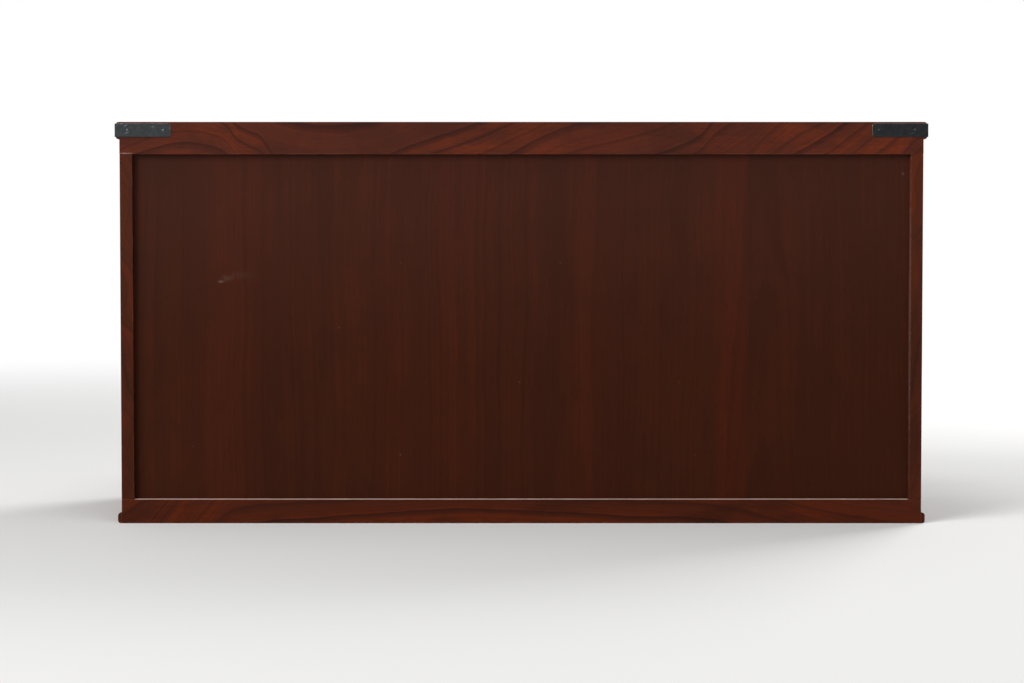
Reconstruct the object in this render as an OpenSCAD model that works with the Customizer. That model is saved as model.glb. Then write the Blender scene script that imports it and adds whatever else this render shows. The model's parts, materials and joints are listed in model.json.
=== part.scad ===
// Low, wide tansu chest: a joined case with a framed back panel, five drawers and iron fittings.
// Millimetres, +Z up. The origin is on the floor under the centre of the top board's footprint.
// The drawers open towards -Y and the framed back faces +Y. Left is -X, as seen from the front.

/* [Case] */
// Width of the case over its side panels
case_w = 1198; // [900:1:1400]
// Depth of the case, from its front edges to the face of its back frame
case_d = 416; // [360:1:480]
// Thickness of a side panel
side_t = 19; // [16:0.5:25]
// Height of the bottom rails, front and back
base_rail_h = 36; // [30:1:60]
// Depth of a front rail, front to back
front_rail_d = 30; // [26:1:45]
// Height of the rails between the drawer tiers
mid_rail_h = 18; // [16:1:26]
// Height of the front rail under the top board
top_rail_h = 22; // [18:1:32]
// Thickness of the bottom board
bottom_t = 16; // [12:1:20]
// Thickness of the dust boards between the tiers
dust_t = 12; // [9:1:15]
// Thickness of the dividers between the top drawers
divider_t = 18; // [14:1:24]
// Depth of the housings and mortises in the side panels
housing_d = 6; // [3:0.5:9]
// Depth of the housings that hold a divider
divider_housing = 4; // [2:0.5:5]
// Shoulder above and below the tenon of a front rail
tenon_shoulder = 4; // [2:0.5:5]
// Distance from a rail's faces to the cheeks of its tenon
tenon_set = 6; // [3:0.5:9]

/* [Top] */
// Thickness of the top board
top_t = 26; // [20:1:34]
// How far the top stands past the case at each side
top_over_side = 5.5; // [2:0.5:12]
// How far the top stands past the case in front
top_over_front = 8; // [4:1:16]
// Rounding radius of the top's side and front edges
top_round = 4.8; // [2:0.1:8]
// Rounding radius of the top's back edge
back_round = 1.5; // [0.5:0.1:4]
// Thickness of the tongues that join the top to the case
tongue_t = 7; // [5:0.5:9]
// Length of the tongues that join the top to the case
tongue_l = 7; // [4:0.5:9]

/* [Back frame] */
// Thickness of the back frame
frame_t = 20; // [18:0.5:26]
// Height of the back top rail, from the top's upper face
back_top_h = 48; // [40:1:70]
// Width of a back stile
stile_w = 19; // [16:0.5:40]
// Depth of the back panel's face behind the frame's face
panel_recess = 11; // [7:0.5:11.5]
// Thickness of the back panel
panel_t = 5.5; // [4:0.5:6]
// Depth of the grooves that hold the back panel
groove_d = 8; // [5:0.5:10]
// Clearance between the back panel's edges and its grooves
panel_play = 0.5; // [0.2:0.1:1]
// Length of a stile's stub tenon, measured across the stile
stub_w = 6; // [3:0.5:6]

/* [Base] */
// Height of the moulding round the foot of the case
moulding_h = 16; // [10:1:28]
// How far the moulding stands out from the case
moulding_out = 5.5; // [4:0.5:10]
// Rounding radius of the moulding's upper edge
moulding_round = 4; // [1:0.5:4]
// Width of a skid under the bottom board
skid_w = 60; // [40:1:90]
// Distance from a skid's ends to the bottom rails
skid_end_gap = 4; // [0.5:0.5:20]
// Distance from a side panel's inner face to the middle of an outer skid
skid_inset = 160; // [50:1:240]

/* [Drawers] */
// Height of the bottom tier's opening
tier_low_h = 180; // [140:1:240]
// Height of the middle tier's opening
tier_mid_h = 180; // [140:1:240]
// Height of the top tier's opening
tier_top_h = 120; // [110:1:180]
// Thickness of a drawer front
front_t = 20; // [16:0.5:26]
// How far a drawer front sits behind the case's front edges
front_setback = 2; // [1.5:0.5:6]
// Thickness of the front that laps over the sides and the bottom
front_lap = 8; // [7.5:0.5:10]
// Thickness of a drawer's sides
box_side_t = 10; // [7:0.5:14]
// Thickness of a drawer's back
box_back_t = 10; // [7:0.5:14]
// Thickness of a drawer's bottom
box_bottom_t = 7; // [4:0.5:9]
// How far a drawer's sides and back stop below the top of its front
box_drop = 4; // [0.5:0.5:12]
// Clearance between a drawer and its opening at each side
side_gap = 1; // [0.5:0.1:2]
// Clearance above a drawer front
top_gap = 1.5; // [0.8:0.1:3]
// Clearance under a closed drawer
seat_gap = 0.3; // [0.2:0.1:0.5]
// Number of fingers in a drawer's rear corner joint
finger_n = 5; // [3:2:9]
// Width of a drawer stop
stop_w = 36; // [20:1:60]
// Depth of a drawer stop, front to back
stop_d = 22; // [12:1:40]
// Height of a drawer stop
stop_h = 14; // [8:1:20]
// Distance from a drawer opening's side to the centre of its stop
stop_inset = 60; // [40:1:100]
// Clearance between a closed drawer and its stops
stop_gap = 0.3; // [0.2:0.1:1]

/* [Handles] */
// Distance between the two posts of a handle
post_span = 120; // [90:1:150]
// Distance from the pivot to the centre of the grip
bail_drop = 44; // [34:1:50]
// Radius of the bail's bar
bail_r = 2.8; // [2:0.1:3.2]
// Radius of the grip at its middle
grip_r = 4.6; // [3.4:0.1:6]
// Bend radius at the ends of the grip
grip_bend = 12; // [8:1:16]
// Bend radius where the bail turns into its eyes
eye_bend = 6; // [4.5:0.5:8]
// Bend radius of the upturned ends
curl_bend = 5; // [4:0.5:5.5]
// Radius of the knob on each upturned end
tip_r = 3.6; // [3.3:0.1:4]
// Distance from the drawer's face to the pivot
pivot_out = 12.5; // [12:0.5:16]
// Height of the pivot above the middle of the drawer opening
handle_rise = 15; // [5:1:20]
// Distance from a wide opening's side to the middle of its handle
handle_inset = 280; // [120:1:330]
// Radius of a post's ball
ball_r = 6.5; // [5.5:0.1:8]
// Radius of a post's neck
neck_r = 4; // [3:0.1:5]
// Radius of a post's shank
shank_r = 2.5; // [2:0.1:3]
// Radius of the rosette under a post
rosette_r = 13; // [11:0.5:16]
// Thickness of a rosette
rosette_t = 1.5; // [1:0.1:2]
// Number of petals on a rosette
petal_n = 8; // [5:1:12]
// Radius of a petal
petal_r = 3.6; // [3:0.1:4.5]
// Radius of the washer inside the drawer
washer_r = 7; // [5:0.5:10]
// Thickness of the washer inside the drawer
washer_t = 1.5; // [1:0.1:2]
// Radius of the riveted end of a post
rivet_r = 4; // [3.2:0.1:4.8]
// Height of the riveted end of a post
rivet_h = 1.5; // [0.8:0.1:2]
// Radial clearance of the bail in its eyes
eye_gap = 0.3; // [0.2:0.1:0.5]
// Clearance between the bail and the side of a post
post_play = 0.5; // [0.3:0.1:1]
// Clearance between a raised bail's knobs and the rosettes
tip_gap = 0.4; // [0.3:0.1:0.8]

/* [Irons] */
// Length of a corner iron's leg
iron_leg = 82; // [50:1:120]
// Height of a corner iron
iron_h = 20; // [14:0.5:21]
// Distance from the top's upper face down to a corner iron
iron_below = 2.5; // [2:0.5:5]
// Thickness of a corner iron
iron_t = 1.5; // [1:0.1:2.5]
// Corner radius at the end of a leg
iron_end_r = 3; // [1:0.5:6]
// Distance from the corner to the first nail
nail_corner = 18; // [12:0.5:22]
// Distance from a leg's end to the last nail
nail_end = 10.5; // [6:0.5:16]
// Length of a corner iron's nails in the wood
iron_nail_l = 10; // [5:0.5:14]
// Length of a drawer strap's leg
strap_l = 42; // [30:1:46]
// Width of a drawer strap's leg
strap_w = 12; // [10:0.5:16]
// Radius of the rounded end of a drawer strap
strap_end_r = 8; // [7:0.5:9]
// Thickness of a drawer strap
strap_t = 1.2; // [0.8:0.1:1.4]
// Distance from a drawer front's edges to its straps
strap_inset = 1.5; // [0.5:0.5:4]
// Length of a drawer strap's nails in the wood
strap_nail_l = 6; // [4:0.5:6.5]
// Radius of a nail's head
nail_head_r = 3; // [2:0.1:3.5]
// Height of a nail's head
nail_head_h = 1.6; // [1:0.1:2]
// Radius of a nail's shank
nail_r = 1; // [0.6:0.1:1.3]
// Radial clearance of nails and shanks in their holes
bore_gap = 0.1; // [0.05:0.05:0.2]
// Clearance between fittings that are stacked on one another
stack_gap = 0.05; // [0.02:0.01:0.1]

/* [Hidden] */
$fn = 48;

// Finishes
rail_red = [0.33, 0.17, 0.12];
panel_red = [0.24, 0.115, 0.08];
front_red = [0.36, 0.17, 0.11];
pale_wood = [0.78, 0.66, 0.48];
black_iron = [0.16, 0.165, 0.16];

// How far a cutting shape runs past the face that it opens
past = 1;
// Segments of the wide arc that swells the grip
grip_fn = 720;

// Places across the width
case_x = case_w / 2;
inner_x = case_x - side_t;
top_x = case_x + top_over_side;
stile_x = case_x - stile_w;
bay_w = (2 * inner_x - 2 * divider_t) / 3;
divider_x = (bay_w + divider_t) / 2;

// Places front to back
back_y = (case_d + top_over_front) / 2;
frame_y = back_y - frame_t;
top_front_y = -back_y;
front_y = top_front_y + top_over_front;
rail_back_y = front_y + front_rail_d;
panel_y = back_y - panel_recess - panel_t;

// Places up the height
floor_low = base_rail_h;
floor_mid = floor_low + tier_low_h + mid_rail_h;
floor_top = floor_mid + tier_mid_h + mid_rail_h;
rail_top_z = floor_top + tier_top_h;
under_top_z = rail_top_z + top_rail_h;
case_h = under_top_z + top_t;
bottom_z = base_rail_h - bottom_t;
back_rail_z = case_h - back_top_h;
iron_z = case_h - iron_below - iron_h;

// The back panel's half width and its ends, tongues included
panel_x = stile_x + groove_d - panel_play;
panel_low_z = base_rail_h - groove_d + panel_play;
panel_high_z = back_rail_z + groove_d - panel_play;
groove_x = stile_x + groove_d;
stub_x = groove_x + stub_w;

// Drawer and handle places that all drawers share
face_y = front_y + front_setback;
lap_y = face_y + front_lap;
box_back_y = frame_y - stop_d - stop_gap;
pivot_y = face_y - pivot_out;
post_x = post_span / 2;
leg_x = post_x - ball_r - post_play - eye_bend;
curl_x = post_x + ball_r + post_play + curl_bend;
tip_z = pivot_out - rosette_t - tip_gap - tip_r;
eye_r = bail_r + eye_gap;

// Each drawer: centre in X, opening width, floor, opening height, middles of its handles
bay_top_left = [-2 * divider_x, bay_w, floor_top, tier_top_h, [0]];
bay_top_middle = [0, bay_w, floor_top, tier_top_h, [0]];
bay_top_right = [2 * divider_x, bay_w, floor_top, tier_top_h, [0]];
wide_handles = [handle_inset - inner_x, inner_x - handle_inset];
bay_middle = [0, 2 * inner_x, floor_mid, tier_mid_h, wide_handles];
bay_lower = [0, 2 * inner_x, floor_low, tier_low_h, wide_handles];
bays = [bay_top_left, bay_top_middle, bay_top_right, bay_middle, bay_lower];

function box_left(b) = b[0] - b[1] / 2 + side_gap;
function box_right(b) = b[0] + b[1] / 2 - side_gap;
function box_floor(b) = b[2] + seat_gap;
function front_top(b) = b[2] + b[3] - top_gap;
function box_top(b) = front_top(b) - box_drop;
function pivot_z(b) = b[2] + b[3] / 2 + handle_rise;

// A square-edged piece of wood between two corners
module block(low, high) {
    translate(low) cube(high - low);
}

// Children as drawn on the right, or mirrored to the left
module at_side(s) {
    if (s < 0) mirror([1, 0, 0]) children();
    else children();
}

// Outline drawn in X and Z, as a solid from y0 to y1
module along_y(y0, y1) {
    translate([0, y1, 0]) rotate([90, 0, 0]) linear_extrude(y1 - y0) children();
}

// Outline drawn in Y and Z, as a solid from x0 to x1
module along_x(x0, x1) {
    translate([x0, 0, 0]) rotate([90, 0, 90]) linear_extrude(x1 - x0) children();
}

// Rectangle centred on X and standing on its base line, with four rounded corners
module rounded_outline(w, h, r) {
    translate([-w / 2, r]) square([w, h - 2 * r]);
    translate([-w / 2 + r, 0]) square([w - 2 * r, h]);
    for (x = [-w / 2 + r, w / 2 - r], z = [r, h - r])
        translate([x, z]) circle(r);
}

// Rectangle from the origin with both corners of its far end rounded
module round_ended_outline(l, h, r) {
    square([l - r, h]);
    translate([l - r, r]) square([r, h - 2 * r]);
    for (z = [r, h - r])
        translate([l - r, z]) circle(r);
}

// Rectangle from the origin with one rounded corner, at the top of its far end
module round_top_outline(l, h, r) {
    square([l - r, h]);
    square([l, h - r]);
    translate([l - r, h - r]) circle(r);
}

// The top's outline across the width, as a solid from y0 to y1
module top_slab(y0, y1) {
    along_y(y0, y1) translate([0, under_top_z]) rounded_outline(2 * top_x, top_t, top_round);
}

// Tongue that joins the top board to the back top rail
module top_back_tongue() {
    tongue_z = under_top_z + (top_t - tongue_t) / 2;
    block([-stub_x, frame_y, tongue_z], [stub_x, frame_y + tongue_l, tongue_z + tongue_t]);
}

// Tongue that joins the right side panel to the top board
module side_top_tongue() {
    mid = (inner_x + case_x) / 2;
    block([mid - tongue_t / 2, rail_back_y, under_top_z],
          [mid + tongue_t / 2, frame_y, under_top_z + tongue_l]);
}

// Nail standing in +Z, with the underside of its head at the origin
module nail(l) {
    cap_r = (nail_head_r * nail_head_r + nail_head_h * nail_head_h) / (2 * nail_head_h);
    rotate_extrude() {
        intersection() {
            translate([0, nail_head_h - cap_r]) circle(cap_r);
            square([nail_head_r + past, nail_head_h + past]);
        }
        translate([0, -l]) square([nail_r, l]);
    }
}

// Hole for a nail of length l below the origin
module nail_bore(l) {
    translate([0, 0, -l - bore_gap]) cylinder(r = nail_r + bore_gap, h = l + bore_gap + past);
}

// Children at each nail of the corner iron on side sx and on end sy, 1 for the back
module at_iron_nails(sx, sy) {
    z = iron_z + iron_h / 2;
    at_side(sx) mirror([0, sy < 0 ? 1 : 0, 0])
        for (d = [nail_corner, iron_leg - nail_end]) {
            translate([top_x - d, back_y + iron_t, z]) rotate([-90, 0, 0]) children();
            translate([top_x + iron_t, back_y - d, z]) rotate([0, 90, 0]) children();
        }
}

// Holes in the wood for the nails of all four corner irons
module all_iron_nail_bores() {
    for (sx = [-1, 1], sy = [-1, 1])
        at_iron_nails(sx, sy) nail_bore(iron_nail_l + iron_t);
}

module top_board() {
    color(rail_red)
    difference() {
        union() {
            intersection() {
                top_slab(top_front_y, frame_y);
                along_x(-top_x, top_x)
                    translate([frame_y, under_top_z]) mirror([1, 0])
                        round_ended_outline(frame_y - top_front_y, top_t, top_round);
            }
            top_back_tongue();
        }
        for (s = [-1, 1])
            at_side(s) side_top_tongue();
        all_iron_nail_bores();
    }
}

// A front rail between the side panels, with a stub tenon at each end
module front_rail(z, h) {
    color(rail_red)
    difference() {
        union() {
            block([-inner_x, front_y, z], [inner_x, rail_back_y, z + h]);
            for (s = [-1, 1])
                at_side(s) rail_tenon(z, h);
        }
        divider_feet();
    }
}

// Right-hand stub tenon of a front rail
module rail_tenon(z, h) {
    block([inner_x, front_y + tenon_set, z + tenon_shoulder],
          [inner_x + housing_d, rail_back_y - tenon_set, z + h - tenon_shoulder]);
}

// Side panel on side s, with the housings and mortises for what it carries
module side_panel(s) {
    color(rail_red)
    at_side(s)
    difference() {
        union() {
            block([inner_x, front_y, 0], [case_x, frame_y, under_top_z]);
            side_top_tongue();
        }
        rail_tenon(0, base_rail_h);
        rail_tenon(floor_mid - mid_rail_h, mid_rail_h);
        rail_tenon(floor_top - mid_rail_h, mid_rail_h);
        rail_tenon(rail_top_z, top_rail_h);
        housed_board(bottom_z, bottom_t);
        housed_board(floor_mid - dust_t, dust_t);
        housed_board(floor_top - dust_t, dust_t);
    }
}

// A level board behind the front rails, housed in both side panels
module housed_board(z, t) {
    block([-inner_x - housing_d, rail_back_y, z], [inner_x + housing_d, frame_y, z + t]);
}

module bottom_board() {
    color(pale_wood) housed_board(bottom_z, bottom_t);
}

module dust_board_upper() {
    color(pale_wood)
    difference() {
        housed_board(floor_top - dust_t, dust_t);
        divider_feet();
    }
}

module dust_board_lower() {
    color(pale_wood) housed_board(floor_mid - dust_t, dust_t);
}

// Right-hand divider's front part, under the front top rail and housed in it
module divider_front_part() {
    block([divider_x - divider_t / 2, front_y, floor_top - divider_housing],
          [divider_x + divider_t / 2, rail_back_y, rail_top_z + divider_housing]);
}

// Right-hand divider's rear part, up to the top board
module divider_rear_part() {
    block([divider_x - divider_t / 2, rail_back_y, floor_top - divider_housing],
          [divider_x + divider_t / 2, frame_y, under_top_z]);
}

// The space that both dividers take, to cut their housings
module divider_feet() {
    for (s = [-1, 1])
        at_side(s) {
            divider_front_part();
            divider_rear_part();
        }
}

module divider(s) {
    color(rail_red)
    at_side(s) {
        divider_front_part();
        divider_rear_part();
    }
}

// Groove for the back panel, out to x on both sides
module panel_groove(x, z0, z1) {
    block([-x, panel_y, z0], [x, panel_y + panel_t, z1]);
}

module back_top_rail() {
    color(rail_red)
    difference() {
        union() {
            intersection() {
                top_slab(frame_y, back_y);
                along_x(-top_x, top_x)
                    translate([frame_y, under_top_z]) round_top_outline(frame_t, top_t, back_round);
            }
            block([-case_x, frame_y, back_rail_z], [case_x, back_y, under_top_z]);
        }
        panel_groove(stub_x, back_rail_z - past, back_rail_z + groove_d);
        top_back_tongue();
        all_iron_nail_bores();
    }
}

module back_bottom_rail() {
    color(rail_red)
    difference() {
        block([-case_x, frame_y, 0], [case_x, back_y, base_rail_h]);
        panel_groove(stub_x, base_rail_h - groove_d, base_rail_h + past);
    }
}

// Back stile with a groove for the panel and a stub tenon at each end
module back_stile(s) {
    color(rail_red)
    at_side(s)
    difference() {
        union() {
            block([stile_x, frame_y, base_rail_h], [case_x, back_y, back_rail_z]);
            block([groove_x, panel_y, base_rail_h - groove_d],
                  [stub_x, panel_y + panel_t, back_rail_z + groove_d]);
        }
        panel_groove(groove_x, base_rail_h - past, back_rail_z + past);
    }
}

module back_panel() {
    color(panel_red)
    block([-panel_x, panel_y, panel_low_z], [panel_x, panel_y + panel_t, panel_high_z]);
}

// Plan of the right-hand moulding, mitred at its front end
module side_moulding_plan() {
    polygon([
        [case_x, front_y],
        [case_x + moulding_out, front_y - moulding_out],
        [case_x + moulding_out, back_y],
        [case_x, back_y],
    ]);
}

module base_moulding_side(s) {
    color(rail_red)
    at_side(s)
    intersection() {
        along_y(front_y - moulding_out, back_y)
            translate([case_x, 0]) round_top_outline(moulding_out, moulding_h, moulding_round);
        linear_extrude(moulding_h) side_moulding_plan();
    }
}

module base_moulding_front() {
    front_x = case_x + moulding_out;
    color(rail_red)
    intersection() {
        along_x(-front_x, front_x)
            translate([front_y, 0]) mirror([1, 0])
                round_top_outline(moulding_out, moulding_h, moulding_round);
        linear_extrude(moulding_h)
            polygon([
                [-case_x, front_y],
                [-front_x, front_y - moulding_out],
                [front_x, front_y - moulding_out],
                [case_x, front_y],
            ]);
    }
}

module base_skids() {
    color(pale_wood)
    for (x = [skid_inset - inner_x, 0, inner_x - skid_inset])
        block([x - skid_w / 2, rail_back_y + skid_end_gap, 0],
              [x + skid_w / 2, frame_y - skid_end_gap, bottom_z]);
}

// Iron bent round a corner of the top, on side sx and on end sy, 1 for the back
module corner_iron(sx, sy) {
    color(black_iron)
    difference() {
        at_side(sx) mirror([0, sy < 0 ? 1 : 0, 0]) {
            translate([top_x, back_y + iron_t, iron_z])
                rotate([90, 0, 0]) mirror([1, 0, 0])
                    linear_extrude(iron_t) round_ended_outline(iron_leg, iron_h, iron_end_r);
            translate([top_x, back_y, iron_z])
                rotate([90, 0, 90]) mirror([1, 0, 0])
                    linear_extrude(iron_t) round_ended_outline(iron_leg, iron_h, iron_end_r);
            translate([top_x, back_y, iron_z])
                intersection() {
                    cylinder(r = iron_t, h = iron_h);
                    cube([iron_t, iron_t, iron_h]);
                }
        }
        at_iron_nails(sx, sy) nail_bore(iron_nail_l + iron_t);
    }
}

module corner_nails() {
    color(black_iron)
    for (sx = [-1, 1], sy = [-1, 1])
        at_iron_nails(sx, sy) nail(iron_nail_l + iron_t);
}

// Two stop blocks behind each drawer
module drawer_stops() {
    color(pale_wood)
    for (b = bays, s = [-1, 1]) {
        x = b[0] + s * (b[1] / 2 - stop_inset);
        block([x - stop_w / 2, frame_y - stop_d, b[2]], [x + stop_w / 2, frame_y, b[2] + stop_h]);
    }
}

// Children at each handle post of a drawer, on its face and standing out from it
module at_posts(b) {
    for (h = b[4], s = [-1, 1])
        translate([b[0] + h + s * post_x, face_y, pivot_z(b)]) rotate([90, 0, 0]) children();
}

// Children at each corner of a drawer front, turned to run inwards from the corner
module at_front_corners(b) {
    translate([(box_left(b) + box_right(b)) / 2, face_y, (box_floor(b) + front_top(b)) / 2])
        rotate([90, 0, 0])
            for (sx = [-1, 1], sz = [-1, 1])
                mirror([sx > 0 ? 1 : 0, 0]) mirror([0, sz > 0 ? 1 : 0])
                    translate([(box_left(b) - box_right(b)) / 2 + strap_inset,
                               (box_floor(b) - front_top(b)) / 2 + strap_inset])
                        children();
}

// The three nail places of a strap, in its own outline
strap_nails = [
    [strap_w / 2, strap_w / 2],
    [strap_l - strap_end_r, strap_w / 2],
    [strap_w / 2, strap_l - strap_end_r],
];

// Corner strap with two legs that end in round lobes
module strap() {
    difference() {
        linear_extrude(strap_t)
            intersection() {
                union() {
                    square([strap_l - strap_end_r, strap_w]);
                    square([strap_w, strap_l - strap_end_r]);
                    translate([strap_l - strap_end_r, strap_w / 2]) circle(strap_end_r);
                    translate([strap_w / 2, strap_l - strap_end_r]) circle(strap_end_r);
                }
                square(strap_l);
            }
        for (p = strap_nails)
            translate([p[0], p[1], strap_t]) nail_bore(strap_nail_l + strap_t);
    }
}

// Rosette on the drawer's face, with its hole for a post's shank
module rosette() {
    difference() {
        linear_extrude(rosette_t) {
            circle(rosette_r - petal_r);
            for (i = [0:petal_n - 1])
                rotate(360 * (i + 0.5) / petal_n) translate([rosette_r - petal_r, 0]) circle(petal_r);
        }
        translate([0, 0, -past]) cylinder(r = shank_r + bore_gap, h = rosette_t + 2 * past);
    }
}

// Handle post: a ball with an eye, on a neck, with a shank riveted over a washer inside
module post() {
    neck_z = rosette_t + stack_gap;
    rivet_z = -front_t - washer_t - stack_gap;
    difference() {
        union() {
            translate([0, 0, rivet_z]) cylinder(r = shank_r, h = neck_z - rivet_z);
            translate([0, 0, neck_z]) cylinder(r = neck_r, h = pivot_out - neck_z);
            translate([0, 0, pivot_out]) sphere(ball_r);
            translate([0, 0, rivet_z - rivet_h]) cylinder(r = rivet_r, h = rivet_h);
        }
        translate([0, 0, pivot_out]) rotate([0, 90, 0])
            cylinder(r = eye_r, h = 2 * ball_r + 2 * past, center = true);
    }
}

// Washer on the inside of the drawer's front
module washer() {
    translate([0, 0, -front_t - washer_t])
    difference() {
        cylinder(r = washer_r, h = washer_t);
        translate([0, 0, -past]) cylinder(r = shank_r + bore_gap, h = washer_t + 2 * past);
    }
}

// Rosettes, posts, washers, straps and nails of one drawer
module drawer_irons(b) {
    color(black_iron) {
        at_posts(b) {
            rosette();
            post();
            washer();
        }
        at_front_corners(b) {
            strap();
            for (p = strap_nails)
                translate([p[0], p[1], strap_t + stack_gap]) nail(strap_nail_l + strap_t);
        }
    }
}

// Drawer front, rebated for the sides and the bottom
module drawer_front(b) {
    color(front_red)
    difference() {
        block([box_left(b), face_y, box_floor(b)],
              [box_right(b), face_y + front_t, front_top(b)]);
        drawer_box_sides(b);
        drawer_box_bottom(b);
        at_posts(b)
            translate([0, 0, -front_t - past])
                cylinder(r = shank_r + bore_gap, h = front_t + 2 * past);
        at_front_corners(b)
            for (p = strap_nails)
                translate([p[0], p[1], 0]) nail_bore(strap_nail_l);
    }
}

// The two side boards, before their rear corner joints are cut
module drawer_box_sides(b) {
    for (x = [box_left(b), box_right(b) - box_side_t])
        block([x, lap_y, box_floor(b) + box_bottom_t], [x + box_side_t, box_back_y, box_top(b)]);
}

module drawer_box_bottom(b) {
    block([box_left(b), lap_y, box_floor(b)],
          [box_right(b), box_back_y, box_floor(b) + box_bottom_t]);
}

// The back board between the sides, with its fingers through them
module drawer_box_back(b) {
    low = box_floor(b) + box_bottom_t;
    finger_h = (box_top(b) - low) / finger_n;
    block([box_left(b) + box_side_t, box_back_y - box_back_t, low],
          [box_right(b) - box_side_t, box_back_y, box_top(b)]);
    for (i = [1:2:finger_n - 1])
        block([box_left(b), box_back_y - box_back_t, low + i * finger_h],
              [box_right(b), box_back_y, low + (i + 1) * finger_h]);
}

module drawer_sides(b) {
    color(pale_wood)
    difference() {
        drawer_box_sides(b);
        drawer_box_back(b);
    }
}

module drawer_back(b) {
    color(pale_wood) drawer_box_back(b);
}

module drawer_bottom(b) {
    color(pale_wood) drawer_box_bottom(b);
}

// Quarter bend of the bail's bar in the plane of X and Z, from angle a round its centre
module bend(r, a) {
    rotate([90, 0, 0]) rotate(a) rotate_extrude(angle = 90) translate([r, 0]) circle(bail_r);
}

// Swelling grip along X between its two bends
module grip() {
    half = leg_x - grip_bend;
    swell = grip_r - bail_r;
    arc_r = (half * half + swell * swell) / (2 * swell);
    rotate([0, 90, 0])
        rotate_extrude()
            intersection() {
                translate([grip_r - arc_r, 0]) circle(arc_r, $fn = grip_fn);
                translate([0, -half]) square([grip_r + past, 2 * half]);
            }
}

// Bail that hangs in the eyes of two posts, with its ends turned up outside them
module bail(b, h) {
    color(black_iron)
    translate([b[0] + h, pivot_y, pivot_z(b)]) {
        translate([0, 0, -bail_drop]) grip();
        for (s = [-1, 1])
            at_side(s) {
                translate([leg_x - grip_bend, 0, grip_bend - bail_drop]) bend(grip_bend, -90);
                translate([leg_x, 0, grip_bend - bail_drop])
                    cylinder(r = bail_r, h = bail_drop - grip_bend - eye_bend);
                translate([leg_x + eye_bend, 0, -eye_bend]) bend(eye_bend, 90);
                translate([leg_x + eye_bend, 0, 0]) rotate([0, 90, 0])
                    cylinder(r = bail_r, h = curl_x - curl_bend - leg_x - eye_bend);
                translate([curl_x - curl_bend, 0, curl_bend]) bend(curl_bend, -90);
                translate([curl_x, 0, curl_bend]) cylinder(r = bail_r, h = tip_z - curl_bend);
                translate([curl_x, 0, tip_z]) sphere(tip_r);
            }
    }
}

top_board();
side_panel(-1);  // side_panel_left
side_panel(1);  // side_panel_right
bottom_board();
back_top_rail();
back_bottom_rail();
back_stile(-1);  // back_stile_left
back_stile(1);  // back_stile_right
back_panel();
front_rail(rail_top_z, top_rail_h);  // front_top_rail
front_rail(floor_top - mid_rail_h, mid_rail_h);  // front_upper_rail
front_rail(floor_mid - mid_rail_h, mid_rail_h);  // front_lower_rail
front_rail(0, base_rail_h);  // front_bottom_rail
divider(-1);  // divider_left
divider(1);  // divider_right
dust_board_upper();
dust_board_lower();
base_moulding_side(-1);  // base_moulding_left
base_moulding_side(1);  // base_moulding_right
base_moulding_front();
base_skids();
corner_iron(-1, 1);  // corner_iron_back_left
corner_iron(1, 1);  // corner_iron_back_right
corner_iron(-1, -1);  // corner_iron_front_left
corner_iron(1, -1);  // corner_iron_front_right
corner_nails();
drawer_stops();
drawer_front(bay_top_left);  // drawer_top_left_front
drawer_sides(bay_top_left);  // drawer_top_left_sides
drawer_back(bay_top_left);  // drawer_top_left_back
drawer_bottom(bay_top_left);  // drawer_top_left_bottom
drawer_irons(bay_top_left);  // drawer_top_left_irons
bail(bay_top_left, 0);  // bail_top_left
drawer_front(bay_top_middle);  // drawer_top_middle_front
drawer_sides(bay_top_middle);  // drawer_top_middle_sides
drawer_back(bay_top_middle);  // drawer_top_middle_back
drawer_bottom(bay_top_middle);  // drawer_top_middle_bottom
drawer_irons(bay_top_middle);  // drawer_top_middle_irons
bail(bay_top_middle, 0);  // bail_top_middle
drawer_front(bay_top_right);  // drawer_top_right_front
drawer_sides(bay_top_right);  // drawer_top_right_sides
drawer_back(bay_top_right);  // drawer_top_right_back
drawer_bottom(bay_top_right);  // drawer_top_right_bottom
drawer_irons(bay_top_right);  // drawer_top_right_irons
bail(bay_top_right, 0);  // bail_top_right
drawer_front(bay_middle);  // drawer_middle_front
drawer_sides(bay_middle);  // drawer_middle_sides
drawer_back(bay_middle);  // drawer_middle_back
drawer_bottom(bay_middle);  // drawer_middle_bottom
drawer_irons(bay_middle);  // drawer_middle_irons
bail(bay_middle, wide_handles[0]);  // bail_middle_left
bail(bay_middle, wide_handles[1]);  // bail_middle_right
drawer_front(bay_lower);  // drawer_lower_front
drawer_sides(bay_lower);  // drawer_lower_sides
drawer_back(bay_lower);  // drawer_lower_back
drawer_bottom(bay_lower);  // drawer_lower_bottom
drawer_irons(bay_lower);  // drawer_lower_irons
bail(bay_lower, wide_handles[0]);  // bail_lower_left
bail(bay_lower, wide_handles[1]);  // bail_lower_right
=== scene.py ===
"""Looks of a low tansu chest: lacquered zelkova outside, bare paulownia inside, black forged irons.

Metres, +Z up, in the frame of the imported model. The framed back faces +Y, and the drawers open towards -Y.
Sizes in the classes are metres too, written as millimetres times MM.
"""

from __future__ import annotations

import json
import logging
import math
from collections.abc import Iterable, Sequence
from dataclasses import dataclass, field
from enum import Enum
from typing import ClassVar

import bmesh
import bpy
from mathutils import Matrix, Vector, noise

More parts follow.
